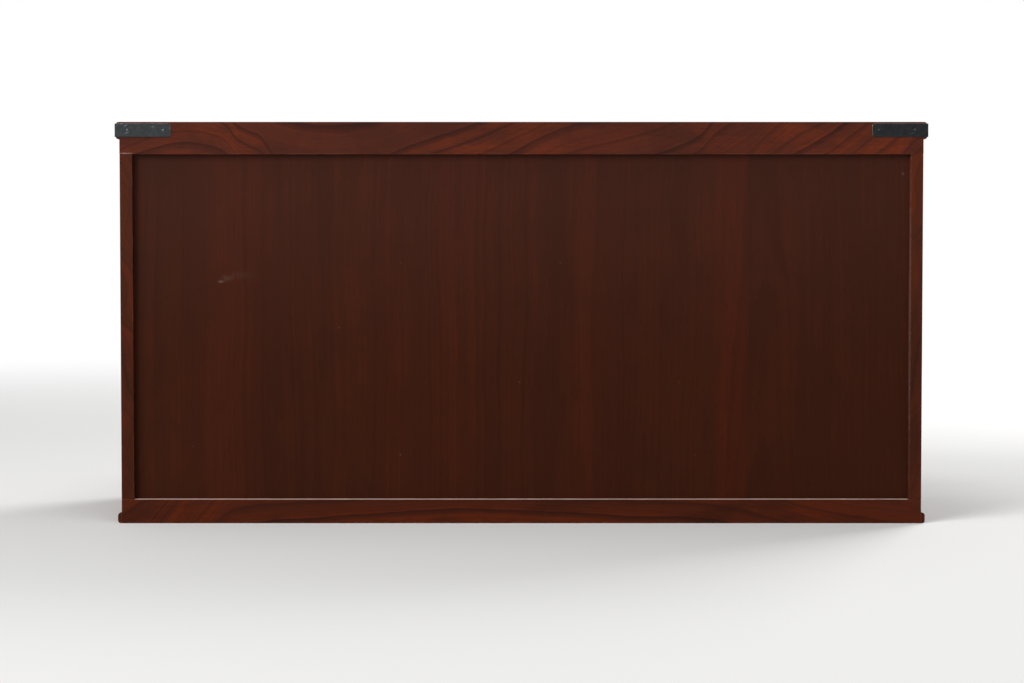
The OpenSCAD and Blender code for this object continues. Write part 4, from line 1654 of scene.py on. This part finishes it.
@dataclass
class Bail:
    """A forged bail that swings in the eyes of two posts, with knobs on its upturned ends."""

    post_span: float = 120 * MM
    drop: float = 44 * MM
    bar_r: float = 2.8 * MM
    grip_r: float = 4.6 * MM
    grip_bend: float = 12 * MM
    eye_bend: float = 6 * MM
    curl_bend: float = 5 * MM
    tip_r: float = 3.6 * MM
    pivot_out: float = 12.5 * MM
    rosette_t: float = 1.5 * MM
    tip_gap: float = 0.4 * MM
    ball_r: float = 6.5 * MM
    play: float = 0.5 * MM
    # The collar at each end of the grip: its height, its width, and its place as a share of half the grip
    collar: float = 0.9 * MM
    collar_w: float = 1.3 * MM
    collar_at: float = 0.82
    # The size of a hammer's facet, and its depth as a share of the bar's radius
    facet: float = 5.5 * MM
    facet_depth: float = 0.035
    grip_wear: float = 0.3
    knob_wear: float = 0.15
    grip_steps: int = 40
    leg_steps: int = 12
    curve_steps: int = 8
    level_steps: int = 6
    knob_steps: int = 9
    segments: int = 20

    @property
    def leg_x(self) -> float:
        """How far the bail's legs stand from its middle."""
        return self.post_span / 2 - self.ball_r - self.play - self.eye_bend

    @property
    def grip_half(self) -> float:
        """Half of the grip's straight length."""
        return self.leg_x - self.grip_bend

    def half_path(self) -> list[Point3]:
        """Follows the bar from the middle of the grip to its tip.

        Returns:
            Points of (across, up, radius) seen from the pivot's middle.
        """
        leg_x, half, bend_z = self.leg_x, self.grip_half, self.grip_bend - self.drop
        curl_x = self.post_span / 2 + self.ball_r + self.play + self.curl_bend
        tip_z = self.pivot_out - self.rosette_t - self.tip_gap - self.tip_r
        knob = -math.sqrt(self.tip_r**2 - self.bar_r**2)
        points = []
        for i in range(self.grip_steps):
            x = half * i / self.grip_steps
            swell = (self.grip_r - self.bar_r) * (1 - (x / half) ** 2)
            ring = self.collar * math.exp(-(((x - self.collar_at * half) / self.collar_w) ** 2))
            points.append((x, -self.drop, self.bar_r + swell + ring))

        bar = arc(half, bend_z, self.grip_bend, -90, 0, self.leg_steps)
        rise = self.drop - self.grip_bend - self.eye_bend
        bar += [(leg_x, bend_z + rise * i / self.leg_steps) for i in range(1, self.leg_steps)]
        bar += arc(leg_x + self.eye_bend, -self.eye_bend, self.eye_bend, 180, 90, self.curve_steps)
        start = leg_x + self.eye_bend
        level = curl_x - self.curl_bend - leg_x - self.eye_bend
        bar += [(start + level * i / self.level_steps, 0.0) for i in range(1, self.level_steps)]
        curl = arc(curl_x - self.curl_bend, self.curl_bend, self.curl_bend, -90, 0, self.curve_steps)
        bar += [(x, z) for x, z in curl if z < tip_z + knob - 0.2 * MM]
        points += [(x, z, self.bar_r) for x, z in bar]

        for i in range(self.knob_steps):
            d = knob + (self.tip_r - knob) * math.sin(math.radians(90 * i / self.knob_steps))
            points.append((curl_x, tip_z + d, math.sqrt(max(self.tip_r**2 - d * d, 0))))
        points.append((curl_x, tip_z + self.tip_r, 0.0))
        return points

    def mesh(self, seed: float) -> Mesh:
        """Sweeps the bar along its path, with the shallow facets of a hammer.

        Args:
            seed: where the facets are read.

        Returns:
            The mesh, about the middle of the pivot.
        """
        half = self.half_path()
        path = [(-x, z, r) for x, z, r in reversed(half)] + half[1:]
        mesh = empty_mesh()
        rubbed = mesh.verts.layers.float[RUBBED]
        rings = []
        for i, (x, z, radius) in enumerate(path):
            before, after = path[max(i - 1, 0)], path[min(i + 1, len(path) - 1)]
            run = Vector((after[0] - before[0], 0, after[1] - before[1])).normalized()
            out = Vector((-run.z, 0, run.x))
            centre = Vector((x, 0, z))
            if radius <= 0:
                rings.append([mesh.verts.new(centre)])
                continue
            ring = []
            for j in range(self.segments):
                angle = math.tau * j / self.segments
                ray = math.cos(angle) * out + math.sin(angle) * Vector((0, 1, 0))
                spot = (centre + ray * radius) / self.facet + Vector((seed, seed, 0))
                depth = self.facet_depth * radius * (noise.noise(spot) - 0.4)
                vertex = mesh.verts.new(centre + ray * (radius + min(depth, 0.0)))
                vertex[rubbed] = self.grip_wear * max(0.0, 1 - abs(x) / (0.9 * self.grip_half)) * (z < 0)
                if z > self.bar_r:
                    vertex[rubbed] = self.knob_wear
                ring.append(vertex)
            rings.append(ring)
        span(mesh, rings, self.segments)
        return mesh


@dataclass
class Woodwork:
    """Eases the arrises of wooden nodes and gives them their materials."""

    arris: float = 0.8 * MM
    weld: float = 0.01 * MM
    # Faces within the first angle count as flat, and corners over the second are eased, in degrees
    flat: float = 0.4
    corner: float = 35

    def ease(self, node: Object, width: float) -> None:
        """Rounds a node's arrises with modifiers, and leaves its mesh as it is.

        Args:
            node: the CAD node's object.
            width: how wide the rounding is.
        """
        modify(node, "weld", "WELD", merge_threshold=self.weld)
        modify(node, "flat faces", "DECIMATE", decimate_type="DISSOLVE", angle_limit=math.radians(self.flat))
        modify(node, "eased arrises", "BEVEL", width=width, segments=3, limit_method="ANGLE",
               angle_limit=math.radians(self.corner), use_clamp_overlap=True)
        modify(node, "shading", "WEIGHTED_NORMAL", weight=80)

    def dress(self, node: Object, material: Material, width: float | None = None) -> None:
        """Gives a node its material and eases its arrises.

        Args:
            node: the CAD node's object.
            material: its material.
            width: how wide the rounding is, or None for the usual one.
        """
        node.data.materials.clear()
        node.data.materials.append(material)
        self.ease(node, self.arris if width is None else width)
        LOG.info("%s: dressed in %s", node.name, material.name)


@dataclass
class FootBead:
    """The rounded moulding round the foot of the case, mitred at the front corners."""

    upper_r: float = 4.5 * MM
    lower_r: float = 4.2 * MM
    arc_steps: int = 7

    def profile(self, out: float, height: float) -> list[Point2]:
        """Lists the moulding's outline.

        Args:
            out: how far it stands out.
            height: its height.

        Returns:
            Points of (out, up), anticlockwise.
        """
        low = arc(out - self.lower_r, self.lower_r, self.lower_r, -90, 0, self.arc_steps)
        high = arc(out - self.upper_r, height - self.upper_r, self.upper_r, 0, 90, self.arc_steps)
        return [(0.0, 0.0)] + low + high + [(0.0, height)]

    def build(self, finish: Lacquer) -> None:
        """Makes the three stretches, and puts them where the CAD nodes are.

        Args:
            finish: their lacquer.
        """
        right, front = Box.of("base_moulding_right"), Box.of("base_moulding_front")
        outline = self.profile(right.high.x - right.low.x, right.high.z)
        case_x, front_y, back_y = right.low.x, front.high.y, right.high.y
        for name, side in (("left", -1), ("right", 1)):
            starts = [Vector((side * (case_x + o), front_y - o, z)) for o, z in outline]
            ends = [Vector((side * (case_x + o), back_y, z)) for o, z in outline]
            self.stretch(name, starts, ends, finish, Grain.RUNNING_BACK)
        starts = [Vector((-case_x - o, front_y - o, z)) for o, z in outline]
        ends = [Vector((case_x + o, front_y - o, z)) for o, z in outline]
        self.stretch("front", starts, ends, finish, Grain.LEVEL_FACING_Y)

    def stretch(self, side: str, starts: Sequence[Vector], ends: Sequence[Vector], finish: Lacquer,
                grain: Grain) -> None:
        """Makes and dresses one straight stretch.

        Args:
            side: where it runs.
            starts: its outline at one end.
            ends: its outline at the other end.
            finish: its lacquer.
            grain: how it lies.
        """
        mesh = empty_mesh()
        first, last = ([mesh.verts.new(spot) for spot in spots] for spots in (starts, ends))
        mesh.faces.new(first)
        mesh.faces.new(last[::-1])
        span(mesh, (first, last), len(first))
        cut = Cut(grain, pith_depth=-0.05, pitch=7 * MM, seed=11.0 + len(side))
        node = f"base_moulding_{side}"
        material = finish.dress(f"lacquer_foot_bead_{side}", Box.of(node), cut)
        finish_piece(f"foot_bead_{side}", mesh, material, "case", (node,))


# The case's figure, drawn point by point. Rings that bend the back rails' grain, by the place along each
# rail
TOP_RAIL_SWELL = (
    (-0.610, -15.7), (-0.585, -15.0), (-0.560, -14.0), (-0.525, -13.0), (-0.490, -12.0), (-0.450, -11.0),
    (-0.400, -10.0), (-0.365, -9.0), (-0.335, -8.0), (-0.290, -7.0), (-0.260, -6.0), (-0.180, -5.0),
    (-0.070, -4.0), (0.000, -3.0), (0.070, -2.0), (0.160, -1.0), (0.240, -0.1), (0.300, -0.03),
    (0.347, -0.32), (0.366, -0.5), (0.378, -1.0), (0.392, -1.5), (0.412, -1.75), (0.424, -2.0),
    (0.432, -2.35), (0.440, -2.7), (0.458, -3.0), (0.497, -3.2), (0.535, -3.07), (0.572, -2.7),
    (0.610, -2.2),
)
BOTTOM_RAIL_SWELL = (
    (-0.610, 2.6), (-0.520, 2.3), (-0.448, 1.8), (-0.418, 1.5), (-0.358, 0.9), (-0.268, 0.35),
    (-0.150, 0.2), (0.000, 0.0), (0.090, -0.15), (0.210, 0.0), (0.330, 0.25), (0.420, 0.5),
    (0.443, 0.8), (0.461, 1.3), (0.487, 2.2), (0.512, 3.2), (0.537, 4.2), (0.563, 5.2), (0.610, 6.3),
)
# The tone of the back panel, from deep at -1 to flushed at 1, by the place across it
PANEL_TONES = (
    (-0.60, -0.6), (-0.54, -0.7), (-0.48, -0.45), (-0.41, -0.35), (-0.365, -0.6), (-0.335, 0.0),
    (-0.307, 0.9), (-0.28, 0.1), (-0.19, -0.3), (-0.13, 0.25), (-0.08, 0.15), (0.0, -0.2), (0.08, 0.3),
    (0.2, 0.2), (0.32, -0.25), (0.38, 0.05), (0.44, 0.3), (0.5, 0.15), (0.56, -0.5), (0.60, -0.6),
)
# Tiny pale specks on the back panel: across, up and strength
PANEL_SPECKS = (
    (0.182, 0.102, 0.14), (0.181, 0.390, 0.05), (-0.058, 0.390, 0.05), (0.273, 0.293, 0.06),
    (0.003, 0.211, 0.06), (-0.237, 0.211, 0.05), (-0.260, 0.102, 0.06), (0.494, 0.115, 0.05),
)


@dataclass
class Case:
    """The case: top, sides, back frame with its panel, front rails, dividers, boards and mouldings."""

    nodes: dict[str, Object]
    rails: Lacquer
    stiles: Lacquer
    ledge: Lacquer
    frame: Lacquer
    foot: Lacquer
    boards: Lacquer
    panel: Lacquer
    bare: BareWood
    wood: Woodwork = field(default_factory=Woodwork)
    bead: FootBead = field(default_factory=FootBead)
    # How far the lacquer of the front runs back into the case, and how far bare wood reaches past the inside
    lip: float = 6 * MM
    past: float = 0.3 * MM
    panel_arris: float = 0.3 * MM
    bare_arris: float = 0.6 * MM

    def hidden(self) -> Box:
        """Measures the inside of the case, whose faces are bare wood.

        Returns:
            The box of the inside.
        """
        side, top = Box.of("side_panel_right"), Box.of("top_board")
        panel, rail = Box.of("back_panel"), Box.of("front_top_rail")
        return Box(
            Vector((-side.low.x - self.past, rail.low.y + self.lip, -self.past)),
            Vector((side.low.x + self.past, panel.low.y + self.past, top.low.z + self.past)),
        )

    def build(self) -> None:
        """Dresses every board of the case."""
        hidden = self.hidden()
        marks = self.marks()
        special = {
            "back_bottom_rail": self.ledge, "back_stile_left": self.stiles, "back_stile_right": self.stiles,
            "back_panel": self.panel,
        }
        rails, frame, boards = self.rail_cuts(), self.frame_cuts(), self.board_cuts()
        for usual, cuts in ((self.rails, rails), (self.frame, frame), (self.boards, boards)):
            for name, cut in cuts.items():
                finish = special.get(name, usual)
                material = finish.dress(f"lacquer_{name}", Box.of(name), cut, hidden, marks.get(name, ()))
                width = self.panel_arris if name == "back_panel" else None
                self.wood.dress(self.nodes[name], material, width)
        self.bead.build(self.foot)
        for name, cut in self.bare_cuts().items():
            material = self.bare.dress(f"bare_{name}", Box.of(name), cut)
            self.wood.dress(self.nodes[name], material, self.bare_arris)

    def rail_cuts(self) -> dict[str, Cut]:
        """Says how each rail and stile of the back was sawn.

        Returns:
            Their cuts by node.
        """
        level, upright = Grain.LEVEL_FACING_Y, Grain.UPRIGHT_FACING_Y
        straight = dict(pith_depth=0.0, tilt=0.0)
        bold = dict(pitch=30 * MM, wander=5 * MM, line_width=0.17, **straight)
        stile = dict(pith_across=-0.3, pitch=17 * MM, wander=4 * MM, line_width=0.2, **straight)
        flame = tuple((-0.26 + 0.04 * i, 0.9 * i + 0.6 * math.sin(1.9 * i)) for i in range(14))
        counter = tuple((-0.26 + 0.04 * i, -1.0 * i + 0.7 * math.sin(2.3 * i + 1)) for i in range(14))
        return {
            "back_top_rail": Cut(level, pith_across=-0.9, seed=1.6, swell=TOP_RAIL_SWELL, **bold),
            "back_bottom_rail": Cut(level, pith_across=-0.7, seed=2.0, swell=BOTTOM_RAIL_SWELL, **bold),
            "back_stile_left": Cut(upright, seed=3.0, swell=flame, **stile),
            "back_stile_right": Cut(upright, seed=4.0, swell=counter, **stile),
        }

    def frame_cuts(self) -> dict[str, Cut]:
        """Says how each rail and divider of the front was sawn.

        Returns:
            Their cuts by node.
        """
        plain = dict(pitch=7 * MM, wander=2.5 * MM, line_width=0.24)
        # Each piece's grain, and where its pith lies: the depth, the place across and the tilt
        level, back = Grain.LEVEL_FACING_Y, Grain.RUNNING_BACK
        piths = {
            "front_top_rail": (level, -0.05, 0.03, 0.03),
            "front_upper_rail": (level, -0.06, -0.02, 0.02),
            "front_lower_rail": (level, -0.05, 0.02, -0.03),
            "front_bottom_rail": (level, -0.07, 0.0, 0.04),
            "divider_left": (back, 0.06),
            "divider_right": (back, 0.07),
        }
        return {name: Cut(*pith, seed=5.0 + i, **plain) for i, (name, pith) in enumerate(piths.items())}

    def board_cuts(self) -> dict[str, Cut]:
        """Says how the top, the side panels and the straight-grained back panel were sawn.

        Returns:
            Their cuts by node.
        """
        flat = dict(pitch=8 * MM, wander=7 * MM, line_width=0.22)
        level, side, back = Grain.LEVEL_FACING_Z, Grain.UPRIGHT_FACING_X, Grain.UPRIGHT_FACING_Y
        return {
            "top_board": Cut(level, pith_depth=-0.11, pith_across=0.03, tilt=0.045, seed=20.0, **flat),
            "side_panel_left": Cut(side, pith_depth=0.10, pith_across=-0.02, tilt=0.08, seed=21.0, **flat),
            "side_panel_right": Cut(side, pith_depth=-0.10, pith_across=0.03, tilt=-0.07, seed=22.0, **flat),
            "back_panel": Cut(back, pith_depth=-0.05, pith_across=-0.36, pitch=9 * MM, wander=6 * MM,
                              line_width=0.3, seed=30.0, tones=PANEL_TONES),
        }

    def bare_cuts(self) -> dict[str, Cut]:
        """Says how the unfinished boards of the case were sawn.

        Returns:
            Their cuts by node.
        """
        flat = dict(pith_depth=-0.12, tilt=0.03, pitch=9 * MM, wander=6 * MM)
        names = ("bottom_board", "dust_board_upper", "dust_board_lower", "base_skids", "drawer_stops")
        turned = {"base_skids": Grain.RUNNING_BACK_FLAT}
        return {
            name: Cut(turned.get(name, Grain.LEVEL_FACING_Z), seed=40.0 + i, **flat)
            for i, name in enumerate(names)
        }

    def marks(self) -> dict[str, tuple[PaleMark, ...]]:
        """Lists the pale marks on the back: a painted highlight along a stile's inner arris, a pale line at
        the other one's joint, rubs on the panel.

        Returns:
            The pale marks by node.
        """
        left, right, rail = Box.of("back_stile_left"), Box.of("back_stile_right"), Box.of("back_top_rail")
        length = left.high.z - left.low.z
        return {
            # Painted highlight: the stile's inner arris and wall, which face the key light, painted paler
            # along their length
            "back_stile_left": (PaleMark(left.high.x, left.centre.z + 25 * MM, 5 * MM, 1.25 * length, 0.11),),
            "back_top_rail": (PaleMark(right.centre.x, rail.low.z + 1.2 * MM, 27 * MM, 2.6 * MM, 0.4),),
            "back_panel": (
                PaleMark(0.450, 0.362, 13 * MM, 6 * MM, 0.12),
                PaleMark(0.441, 0.367, 24 * MM, 12 * MM, 0.04),
                PaleMark(0.420, 0.372, 56 * MM, 16 * MM, 0.015),
                PaleMark(-0.570, 0.5235, 5 * MM, 7 * MM, 0.12),
                *(PaleMark(x, z, 4 * MM, 3.5 * MM, strength) for x, z, strength in PANEL_SPECKS),
            ),
        }


@dataclass
class Drawer:
    """One drawer: its lacquered front, its bare box with pegs, and the irons that its bails hang in."""

    name: str
    nodes: dict[str, Object]
    pivots: Sequence[Vector]
    fronts: Lacquer
    bare: BareWood
    bamboo: BareWood
    iron: BlackIron
    iron_material: Material
    seed: float
    post: HandlePost = field(default_factory=HandlePost)
    rosette: Rosette = field(default_factory=Rosette)
    strap: Strap = field(default_factory=Strap)
    wood: Woodwork = field(default_factory=Woodwork)
    post_span: float = 120 * MM
    peg_r: float = 1.7 * MM
    peg_proud: float = 0.25 * MM
    peg_sides: int = 10
    peg_unevenness: float = 0.05
    # How far the pegs stand before the inside of the front, and how high up the sides, as shares
    peg_inset: float = 6 * MM
    peg_rows: Point3 = (0.18, 0.5, 0.82)
    front_arris: float = 1.2 * MM
    box_arris: float = 0.5 * MM
    # How far the lacquer of the front stops short of its inside
    bare_depth: float = 0.5 * MM

    @property
    def body(self) -> str:
        """The body that the drawer moves with."""
        return f"drawer_{self.name}"

    @property
    def front(self) -> Box:
        """The box of the drawer's front."""
        return Box.of(f"{self.body}_front")

    def build(self) -> None:
        """Dresses the drawer's boards and makes its irons and pegs."""
        front = self.front
        inner = Box(Vector((-1, front.high.y - self.bare_depth, -1)), Vector((1, 1, 1)))
        # The figure runs out more steeply on a small front than on a wide one
        pith_depth, tilt = (0.055, 0.07) if front.half.x > 0.3 else (0.05, 0.16)
        cut = Cut(Grain.LEVEL_FACING_Y, pith_depth, 4 * MM * math.sin(self.seed), tilt, pitch=7.5 * MM,
                  wander=6 * MM, line_width=0.22, seed=self.seed)
        material = self.fronts.dress(f"lacquer_{self.body}_front", front, cut, inner)
        self.wood.dress(self.nodes[f"{self.body}_front"], material, self.front_arris)
        for part, grain, depth in (
            ("sides", Grain.RUNNING_BACK, 0.09), ("back", Grain.LEVEL_FACING_Y, -0.1),
            ("bottom", Grain.LEVEL_FACING_Z, -0.15),
        ):
            node = f"{self.body}_{part}"
            cut = Cut(grain, pith_depth=depth, pitch=8 * MM, wander=5 * MM, seed=self.seed + 50 + depth)
            material = self.bare.dress(f"bare_{node}", Box.of(node), cut)
            self.wood.dress(self.nodes[node], material, self.box_arris)
        self.build_posts()
        self.build_straps()
        self.build_pegs()

    def on_face(self, x: float, z: float) -> Matrix:
        """Returns the matrix that stands a piece, drawn along +Z, on the drawer's face at x and z."""
        return stand((x, self.front.low.y, z), 90, "X")

    def add_iron(self, kind: str, mesh: Mesh, replaces: Sequence[str] = ()) -> None:
        """Turns a mesh into one of the drawer's irons.

        Args:
            kind: what it is called.
            mesh: its mesh. It is freed.
            replaces: the CAD nodes that it stands for.
        """
        finish_piece(f"{self.body}_{kind}", mesh, self.iron_material, self.body, replaces)

    def build_posts(self) -> None:
        """Makes the rosettes, posts and washers of every handle."""
        shapes = {"posts": self.post.mesh(), "rosettes": self.rosette.mesh(), "washers": self.post.washer()}
        meshes = {kind: empty_mesh() for kind in shapes}
        for pivot in self.pivots:
            for side in (-1, 1):
                place = self.on_face(pivot.x + side * self.post_span / 2, pivot.z)
                for kind, shape in shapes.items():
                    add_mesh(meshes[kind], shape, place)
        for kind, mesh in meshes.items():
            self.add_iron(kind, mesh, (f"{self.body}_irons",) if kind == "posts" else ())

    def build_straps(self) -> None:
        """Makes the four corner straps and their nails."""
        straps, nails = empty_mesh(), empty_mesh()
        front, strap = self.front, self.strap
        for i, (side, rise) in enumerate(((-1, -1), (1, -1), (1, 1), (-1, 1))):
            x, z = front.end(0, side) - side * strap.inset, front.end(2, rise) - rise * strap.inset
            place = self.on_face(x, z) @ Matrix.Diagonal((-side, -rise, 1, 1))
            add_mesh(straps, strap.mesh(self.seed + 7.7 * i), place)
            for j, (across, up) in enumerate(strap.nail_places()):
                nail = strap.nail.mesh(strap.nail_length + strap.thickness, self.seed + i + 0.3 * j)
                add_mesh(nails, nail, place @ Matrix.Translation((across, up, strap.thickness + strap.gap)))
        self.add_iron("straps", straps)
        self.add_iron("strap_nails", nails)

    def build_pegs(self) -> None:
        """Makes the bamboo pegs that hold the drawer's sides to its front."""
        sides, front = Box.of(f"{self.body}_sides"), self.front
        r, proud = self.peg_r, self.peg_proud
        profile = [(0.0, -r), (r, -r), (r, 0.6 * proud), (r * 0.8, proud), (0.0, proud)]
        peg = revolve(profile, self.peg_sides, self.peg_unevenness, self.seed)
        pegs = empty_mesh()
        for x, turn in ((sides.low.x, -90), (sides.high.x, 90)):
            for share in self.peg_rows:
                spot = (x, front.high.y - self.peg_inset, sides.low.z + (sides.high.z - sides.low.z) * share)
                add_mesh(pegs, peg, stand(spot, turn, "Y"))
        cut = Cut(Grain.RUNNING_BACK, seed=self.seed)
        material = self.bamboo.dress(f"bamboo_{self.body}_pegs", sides, cut)
        finish_piece(f"{self.body}_pegs", pegs, material, self.body)


@dataclass
class Camera:
    """The camera, square to the back and a little above its middle. Its lens and sensor are in mm."""

    x: float = 14.1 * MM
    distance: float = 3.4916
    height: float = 0.4086
    tilt: float = 2.23
    lens: float = 82.2
    sensor: float = 36.0

    def build(self, face_y: float) -> None:
        """Makes the scene's camera.

        Args:
            face_y: the plane of the back, which the distance is measured from.
        """
        camera = add_object("camera", bpy.data.cameras.new("camera"))
        camera.data.lens = self.lens
        camera.data.sensor_width = self.sensor
        camera.location = (self.x, face_y + self.distance, self.height)
        camera.rotation_euler = (math.radians(90 - self.tilt), 0, math.radians(180))
        bpy.context.scene.camera = camera


@dataclass(frozen=True)
class Lamp:
    """A square soft lamp: where it hangs, its power in watts and the length of its side."""

    name: str
    place: Point3
    power: float
    size: float

    def build(self, aim: Point3) -> None:
        """Hangs the lamp, turned to a point.

        Args:
            aim: the point that it faces.
        """
        lamp = add_object(self.name, bpy.data.lights.new(self.name, "AREA"))
        lamp.data.energy = self.power
        lamp.data.size = self.size
        lamp.location = self.place
        lamp.rotation_euler = (Vector(self.place) - Vector(aim)).to_track_quat("Z", "Y").to_euler()


@dataclass
class Studio:
    """A pale floor, a white surround and soft lamps."""

    floor_r: float = 14.0
    floor_colour: Colour = (0.82, 0.81, 0.79, 1.0)
    floor_roughness: float = 0.8
    floor_gloss: float = 0.1
    floor_sides: int = 96
    fade_from: float = 1.4
    fade_to: float = 5.5
    fill: float = 0.34
    fill_colour: Colour = (0.93, 0.96, 1.0, 1.0)
    white: Colour = (1.0, 1.0, 1.0, 1.0)
    aim: Point3 = (0.0, 0.0, 0.3)
    lamps: tuple[Lamp, ...] = (
        Lamp("key", (3.7, 4.2, 2.9), 255.0, 3.0),
        Lamp("overhead", (0.2, 0.9, 3.0), 16.0, 0.9),
        Lamp("front key", (-3.4, -4.2, 2.9), 255.0, 3.0),
    )

    def build(self) -> None:
        """Makes the floor, the surround and the lamps."""
        bpy.context.scene.view_settings.view_transform = "Standard"
        self.build_floor()
        self.build_surround()
        for lamp in self.lamps:
            lamp.build(self.aim)

    def seen(self, w: Wiring) -> Socket:
        """Tells rays that show the surround from light on the chest.

        Args:
            w: the wiring of the tree.

        Returns:
            1 for rays from the camera, a mirror or glass, and 0 for light on the chest.
        """
        path = w.node("ShaderNodeLightPath").outputs
        straight = w.math("MAXIMUM", path["Is Camera Ray"], path["Is Glossy Ray"])
        return w.math("MAXIMUM", straight, path["Is Transmission Ray"])

    def build_surround(self) -> None:
        """Lights the chest evenly from all round, and shows white behind it."""
        world = bpy.data.worlds.new("surround")
        world.use_nodes = True
        world.node_tree.nodes.clear()
        bpy.context.scene.world = world
        w = Wiring(world.node_tree)
        light = w.node("ShaderNodeBackground", self.fill_colour, self.fill)
        white = w.node("ShaderNodeBackground", self.white)
        w.node("ShaderNodeOutputWorld", w.mix_shaders(self.seen(w), light, white))

    def build_floor(self) -> None:
        """Lays a round floor that fades into the white surround."""
        mesh = bmesh.new()
        bmesh.ops.create_circle(mesh, cap_ends=True, segments=self.floor_sides, radius=self.floor_r)
        floor = mesh_object("floor", mesh)
        material, w, shader = new_material("pale_floor")
        floor.data.materials.append(material)
        w.fill(shader, {
            "Base Color": self.floor_colour, "Roughness": self.floor_roughness,
            "Specular IOR Level": self.floor_gloss,
        })
        away = w.node("ShaderNodeVectorMath", w.place(), operation="LENGTH").outputs["Value"]
        share = w.times(w.step(away, self.fade_from, self.fade_to), self.seen(w))
        faded = w.mix_shaders(share, shader, w.node("ShaderNodeEmission"))
        end = next(node for node in w.tree.nodes if node.type == "OUTPUT_MATERIAL")
        w.feed(end.inputs["Surface"], faded)


def main() -> None:
    """Builds the chest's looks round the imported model."""
    logging.basicConfig(level=logging.INFO, format="%(name)s: %(message)s")
    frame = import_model()
    nodes = frame["nodes"]

    Camera().build(Box.of("back_top_rail").high.y)
    Studio().build()

    bare = BareWood()
    bamboo = BareWood(ground=paint(150, 106, 62), line=paint(92, 62, 36), shade=paint(116, 80, 46))
    rails = Lacquer(ground=paint(94, 40, 23), glow=paint(116, 46, 20), line_strength=0.8, patch_share=0.5,
                    cloud_share=0.5)
    # The stiles: a darker ground, with a painted sheen over their upper ends
    stiles = Lacquer(ground=paint(71, 28, 10), glow=paint(91, 33, 9), line=paint(36, 16, 9),
                     deep=paint(49, 21, 9), line_strength=0.55, patch_share=0.6, painted_sheen_share=0.07)
    # Painted shade: a darker copy of the rails' lacquer, for the back's bottom rail, the front frame and the
    # foot bead
    shaded = dict(
        ground=paint(72, 27, 9), glow=paint(92, 33, 8), line=paint(39, 16, 8), deep=paint(52, 20, 8),
    )
    stile = Box.of("back_stile_right")
    # The ledge of the back's bottom rail: a strong painted highlight along its top face and arris, between
    # the stiles
    ledge = Lacquer(rub_and_highlight=paint(224, 198, 186), top_highlight_share=0.95, top_highlight_half_width=stile.low.x, **shaded)
    front_frame = Lacquer(**shaded)
    # The foot bead: a painted highlight along its top
    bead = Lacquer(top_highlight_share=0.4, top_highlight_half_width=1.0, **shaded)
    boards = Lacquer(slot="lacquered_boards", line_strength=0.7)
    # The back panel, with a painted sheen over its upper part
    panel = Lacquer(
        ground=paint(62, 26, 11), glow=paint(71, 28, 12), line=paint(44, 19, 9), deep=paint(49, 22, 11),
        worn_and_sheen=paint(120, 86, 82), slot="lacquered_back_panel", line_strength=0.4, fine_strength=0.15,
        glow_share=0.6, band_share=0.7, patch_share=0.4, cloud_share=0.4, tone_share=0.25, painted_sheen_share=0.055,
        roughness=0.42, gloss=0.03, coat=0.02,
    )
    fronts = Lacquer(slot="lacquered_drawer_fronts")
    Case(nodes, rails, stiles, ledge, front_frame, bead, boards, panel, bare).build()

    iron = BlackIron()
    iron_material = iron.dress("blackened_iron")
    # Lit and shaded copies for the corner irons: the right nails, towards the key light, are painted
    # lighter, and the left irons take a darker copy of the iron as painted shade, with rougher nails
    nail_material = BlackIron(scale=paint(92, 96, 98), roughness=0.24).dress("blackened_nails")
    shaded_iron = BlackIron(dark=paint(31, 33, 33), scale=paint(38, 41, 42), scratching=0.8)
    scratched = BlackIron(bright=paint(150, 152, 158), scratching=1.2)
    shaded_dull_nails = BlackIron(roughness=0.45).dress("shaded_dulled_nails")
    CornerIrons(shaded_iron, scratched, shaded_dull_nails, nail_material).build()
    hinges = [joint for joint in frame["joints"] if joint["type"] == "hinge"]
    pivots = {joint["child"]: Vector(joint["pos_m"]) for joint in hinges}
    parents = {joint["child"]: joint["parent"] for joint in hinges}
    for i, name in enumerate(("top_left", "top_middle", "top_right", "middle", "lower")):
        own = [pivot for bail, pivot in pivots.items() if parents[bail] == f"drawer_{name}"]
        Drawer(name, nodes, own, fronts, bare, bamboo, iron, iron_material, 60.0 + 4 * i).build()
    bail = Bail()
    for i, (name, pivot) in enumerate(pivots.items()):
        mesh = bail.mesh(3.3 * i)
        mesh.transform(Matrix.Translation(pivot))
        finish_piece(f"{name}_forged", mesh, iron_material, name, (name,))


if __name__ == "__main__":
    main()
